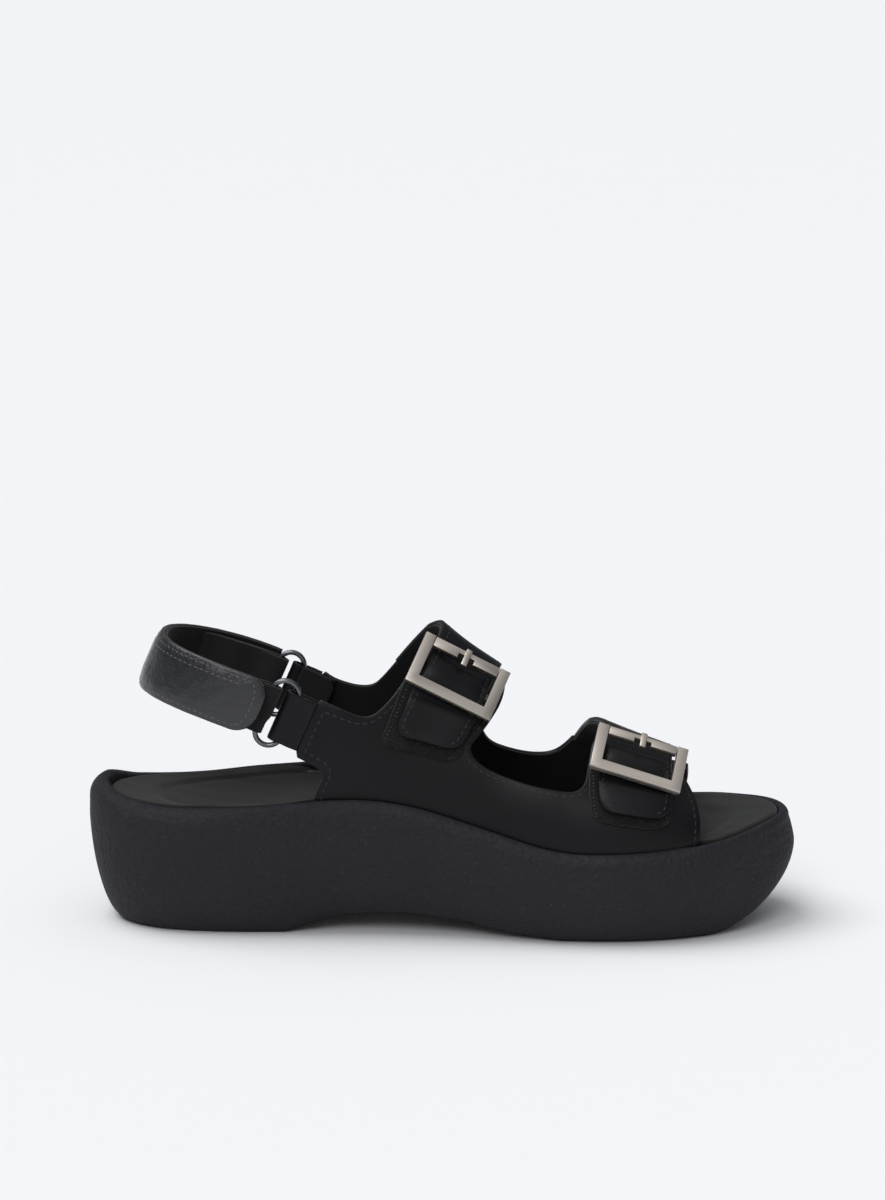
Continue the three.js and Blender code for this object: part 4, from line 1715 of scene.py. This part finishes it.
@dataclass(frozen=True)
class HeelLayer:
    """A layer under the heel strap's leather: its names, its stretch of the strap and its two levels."""

    name: str
    node: str
    body: str
    turns: Point
    levels: Point
    width: float

    def place(self, turn: float, up: float, deep: float) -> Vector:
        """Returns the layer's point."""
        back, out = HEEL.band(turn, mix(*self.levels, deep))
        return HEEL.point(back, out, up)

    def build(self, finishes: Finishes) -> None:
        """Builds the layer: a pad lies under the leather, and the lining needs nothing to lie on."""
        is_lining = self.name.endswith("lining")
        slot, finish = ("lining", "lining_cloth") if is_lining else ("pile", "pile")
        half = self.width / 2
        panel = Panel(steps_between(*self.turns, 0.022), steps_between(-half, half, 1.3))
        piece = finish_mesh(panel.lay(self.place, 0.2), f"heel_{self.name}", finishes[finish])
        declare(panel, self.width)
        attach(piece, f"heel_{self.body}", slot, f"heel_{self.node}")


@dataclass
class HeelStrap:
    """The padded heel strap: one leather band from its loose end round the heel to the far side."""

    finishes: Finishes
    width: float = 21.5
    flap_turn: float = 0.17 * math.pi
    loose_from: float = 0.015
    rounded_to: float = 0.13 * math.pi
    corner: float = 8.0
    first_seam: float = 1.9
    second_seam: float = 4.1

    def length_to(self, turn: float) -> float:
        """Returns the band's length from its loose end to a turn."""
        steps = 40
        turns = [mix(self.loose_from, turn, i / steps) for i in range(steps + 1)]
        points = [Vector(HEEL.band(at, 2.9)) for at in turns]
        return sum((b - a).length for a, b in zip(points, points[1:]))

    def place(self, turn: float, across: float, deep: float) -> Vector:
        """Returns the band's point: across runs from -1 at its lower edge to 1 at its upper edge."""
        up = across * self.width / 2
        if turn < self.rounded_to:
            away = self.length_to(turn)
            if away < self.corner:
                lost = corner_loss(self.corner, away)
                up = across * (self.width / 2 - lost * (0.9 if across > 0 else 1.0))
        crown = 1.1 * (1 - abs(across) ** 3.2)
        crinkle = 0.07 * math.sin(turn * 23 + across * 2) * math.sin(across * 4 + turn * 5)
        crinkle += 0.04 * math.sin(turn * 61 - across * 5) * math.sin(across * 9 - turn * 13)
        offset = 2.7 + (crown + crinkle) if deep < 0.5 else 1.35
        upper = 0.3 + 0.7 * smoothstep(-0.2, 1, across)
        lift = 1.3 * smoothstep(0.16 * math.pi, 0.06 * math.pi, turn) * upper
        lift += 0.8 * smoothstep(0.1 * math.pi, 0.0, turn)
        back, out = HEEL.band(turn, offset - lift * 0.2)
        return HEEL.point(back, out, up)

    def leather(self) -> None:
        """Builds the band's leather and its stitches."""
        turns = [mix(self.loose_from, self.rounded_to, (i / 26) ** 1.5) for i in range(26)]
        turns += steps_between(self.rounded_to, math.pi, 0.022)
        panel = Panel(turns, steps_between(-1, 1, 1 / 11))
        bm = panel.lay(self.place, 0.4, 3)
        piece = finish_mesh(bm, "heel_band", self.finishes["crinkled_leather"])
        declare(panel, self.width, 0.98)
        self.bend(piece, "crinkled", "heel_strap", "heel_flap")
        seam = Seam(1.7, 0.27, 2.4)
        rows = steps_between(self.loose_from + 0.03, math.pi - 0.02, 0.02)
        edge = 1 - 2 * self.first_seam / self.width
        second = 1 - 2 * self.second_seam / self.width
        for level, starts in ((edge, 0.12), (second, 0.2), (-edge, 0.12)):
            seam.row([(turn, level) for turn in rows if turn > starts], self.place)
        round_end = [(mix(0.075, 0.13, abs(a) ** 4), a * edge) for a in steps_between(-1, 1, 0.08)]
        seam.row(round_end, self.place)
        self.bend(seam.piece("heel_band_stitches", self.finishes["pale_thread"]), "crinkled")

    def bend(self, piece: bpy.types.Object, slot: str, *nodes: str) -> None:
        """Bakes a piece's placing into its mesh and hides the CAD nodes that it stands for; the line where
        the loose end would bend is worked out but not used.
        """
        back, out = HEEL.band(self.flap_turn, 2)
        start = HEEL.point(back + 2.4, out - 1.8, 0) * MM
        end = HEEL.point(back - 2.4, out + 1.8, 0) * MM
        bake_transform(piece)
        if nodes:
            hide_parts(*nodes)
        LOG.info("%s bends at the loose end", piece.name)

    def layers(self) -> None:
        """Builds the lining and the two fastening patches."""
        lined, padded = self.width - 0.8, self.width - 4
        lined_turns = (self.flap_turn + 0.03, math.pi - 0.01)
        for layer in (
            HeelLayer("band_lining", "strap_lining", "strap", lined_turns, (1.3, 0.1), lined),
            HeelLayer("hook_pad", "hook_patch", "flap", (0.05, 0.4), (1.1, 0.2), padded),
            HeelLayer("loop_pad", "loop_patch", "strap", (0.05, 0.42), (-0.1, -1.0), padded),
        ):
            layer.build(self.finishes)

    def build(self) -> None:
        """Builds the heel strap."""
        self.layers()
        self.leather()


# ---------------------------------------------------------------- the studio


@dataclass
class Studio:
    """A pale seamless floor, soft overhead light and a level camera a little above the sandal."""

    distance: float = 1.24
    tilt: float = 11.0
    aim: tuple[float, float, float] = (0.0, 0.0, 0.1205)
    room: tuple[tuple[float, tuple[float, float, float]], ...] = (
        (0.0, (0.3, 0.3, 0.3)),
        (0.5, (0.13, 0.135, 0.15)),
        (0.72, (0.38, 0.39, 0.42)),
        (1.0, (0.84, 0.84, 0.86)),
    )
    room_strength: float = 0.9
    floor_dark: tuple[float, float, float] = (0.89, 0.896, 0.908)
    floor_light: tuple[float, float, float] = (0.893, 0.899, 0.911)
    floor_radius: float = 60000.0
    floor_drop: float = 0.0002

    def floor(self) -> None:
        """Lays the floor."""
        bm = bmesh.new()
        bmesh.ops.create_circle(bm, cap_ends=True, segments=64, radius=self.floor_radius)
        graph = Graph("pale_floor")
        tone = graph.noise(graph.place(), 3, 2)
        color = graph.blend(tone, self.floor_dark, self.floor_light)
        finish = graph.finish(Base_Color=color, Roughness=0.95, Specular_IOR_Level=0.1)
        floor = finish_mesh(bm, "floor", finish)
        floor.location.z = -self.floor_drop

    def sun(self, name: str, direction: Sequence[float], strength: float, angle: float) -> None:
        """Adds a broad, distant light that comes from a direction."""
        light = bpy.data.lights.new(name, "SUN")
        light.energy = strength
        light.angle = math.radians(angle)
        lamp = bpy.data.objects.new(name, light)
        lamp.rotation_euler = Vector(direction).to_track_quat("Z", "Y").to_euler()
        bpy.context.scene.collection.objects.link(lamp)

    def world(self) -> None:
        """Makes the room's soft light, bright overhead and dimmer towards the sides."""
        world = bpy.data.worlds.new("room")
        bpy.context.scene.world = world
        world.use_nodes = True
        tree = world.node_tree
        coords = tree.nodes.new("ShaderNodeTexCoord")
        parts = tree.nodes.new("ShaderNodeSeparateXYZ")
        ramp = tree.nodes.new("ShaderNodeValToRGB")
        fill_ramp(ramp.color_ramp, self.room)
        tree.links.new(coords.outputs["Generated"], parts.inputs[0])
        tree.links.new(parts.outputs["Z"], ramp.inputs[0])
        tree.links.new(ramp.outputs[0], tree.nodes["Background"].inputs["Color"])
        tree.nodes["Background"].inputs["Strength"].default_value = self.room_strength

    def camera(self) -> None:
        """Places the camera."""
        data = bpy.data.cameras.new("camera")
        data.lens = 100
        data.clip_end = 200
        camera = bpy.data.objects.new("camera", data)
        tilt = math.radians(self.tilt)
        away = Vector((0, -math.cos(tilt), math.sin(tilt))) * self.distance
        camera.location = Vector(self.aim) + away
        camera.rotation_euler = away.to_track_quat("Z", "Y").to_euler()
        bpy.context.scene.collection.objects.link(camera)
        bpy.context.scene.camera = camera

    def build(self) -> None:
        """Sets the whole studio up."""
        bpy.context.scene.view_settings.view_transform = "Standard"
        self.floor()
        self.world()
        self.sun("key", (-0.45, 0.02, 1.0), 1.6, 45)
        self.sun("front", (-0.25, -0.9, 0.8), 0.75, 28)
        self.sun("low", (0.1, -1.0, 0.3), 0.25, 60)
        self.camera()


NEAR_CORNERS = (
    (-50, 20, 1), (-47.3, 52.5), (-43, 61.5, 3), (-48.5, 64.6), (-54.3, 67.6, 0.4), (-45.4, 88.4, 0.4),
    (-27.6, 80.2), (-20, 86.5), (-13.4, 94.9), (-10.5, 102), (-4, 106), (15, 97), (22.5, 91, 3),
    (21.5, 84, 4), (15, 75.6), (9.7, 70.6), (11, 66.3), (17.4, 61.7), (31, 57), (47.3, 53.9), (51.9, 55.9),
    (53.7, 63.9), (56, 71), (80, 62), (86.8, 57.6), (91.9, 51), (94, 44), (93.2, 37), (92.5, 20, 1),
)
FAR_CORNERS = (
    (-50, 20, 1), (-47.3, 52.5), (-43, 61.5, 3), (-48.5, 64.6), (-54.3, 67.6, 0.4), (-45.4, 88.4, 0.4),
    (-40.6, 84.5), (-32.8, 82.2), (-27.2, 82.3), (-24.1, 84.5), (-15.6, 95.3), (-9, 107), (-2, 120), (30, 96),
    (21, 82), (14, 70), (16.5, 60.2), (26.4, 55.8), (35.5, 53.5), (43.6, 53.9), (49.6, 60), (54.5, 70),
    (56, 84), (94, 70), (90, 59), (93.3, 51.8), (94.6, 44), (93.2, 37), (92.5, 20, 1),
)

INSTEP_SLIM = Curve(((33, 0.78), (48, 0.87), (76, 0.87), (106, 1)))
INSTEP_SETTLE = Curve(((33, 6.6), (50, 3.1), (60, 1.1), (72, -0.3), (95, 0)))
FOREFOOT_SLIM = Curve(((31, 0.66), (46, 0.75), (76, 0.76), (106, 1)))
FOREFOOT_SETTLE = Curve(((31, 5.6), (48, 2.3), (57, 1.3), (95, 0)))


def main() -> None:
    """Builds the sandal's sub-assemblies in order, then the studio."""
    logging.basicConfig(level=logging.INFO, format="%(name)s: %(message)s")
    finishes = Finishes()
    sole = SoleUnit(finishes)
    sole.build()
    Footbed(finishes, sole).build()
    Quarter(Side.NEAR, NEAR_CORNERS, finishes).build()
    Quarter(Side.FAR, FAR_CORNERS, finishes).build()
    for strap in (
        Strap("instep", -56.5, -17.3, 33, INSTEP_SLIM, INSTEP_SETTLE, Seat(-37.2, 60, 2.5, 2), finishes),
        Strap("forefoot", 36, 76.7, 31.5, FOREFOOT_SLIM, FOREFOOT_SETTLE, Seat(57.7, 58, 0, 5), finishes),
    ):
        strap.build()
        Buckle(strap, finishes).build()
    for side in Side:
        RingSet(side, finishes).build()
    HeelStrap(finishes).build()
    Studio().build()


if __name__ == "__main__":
    main()
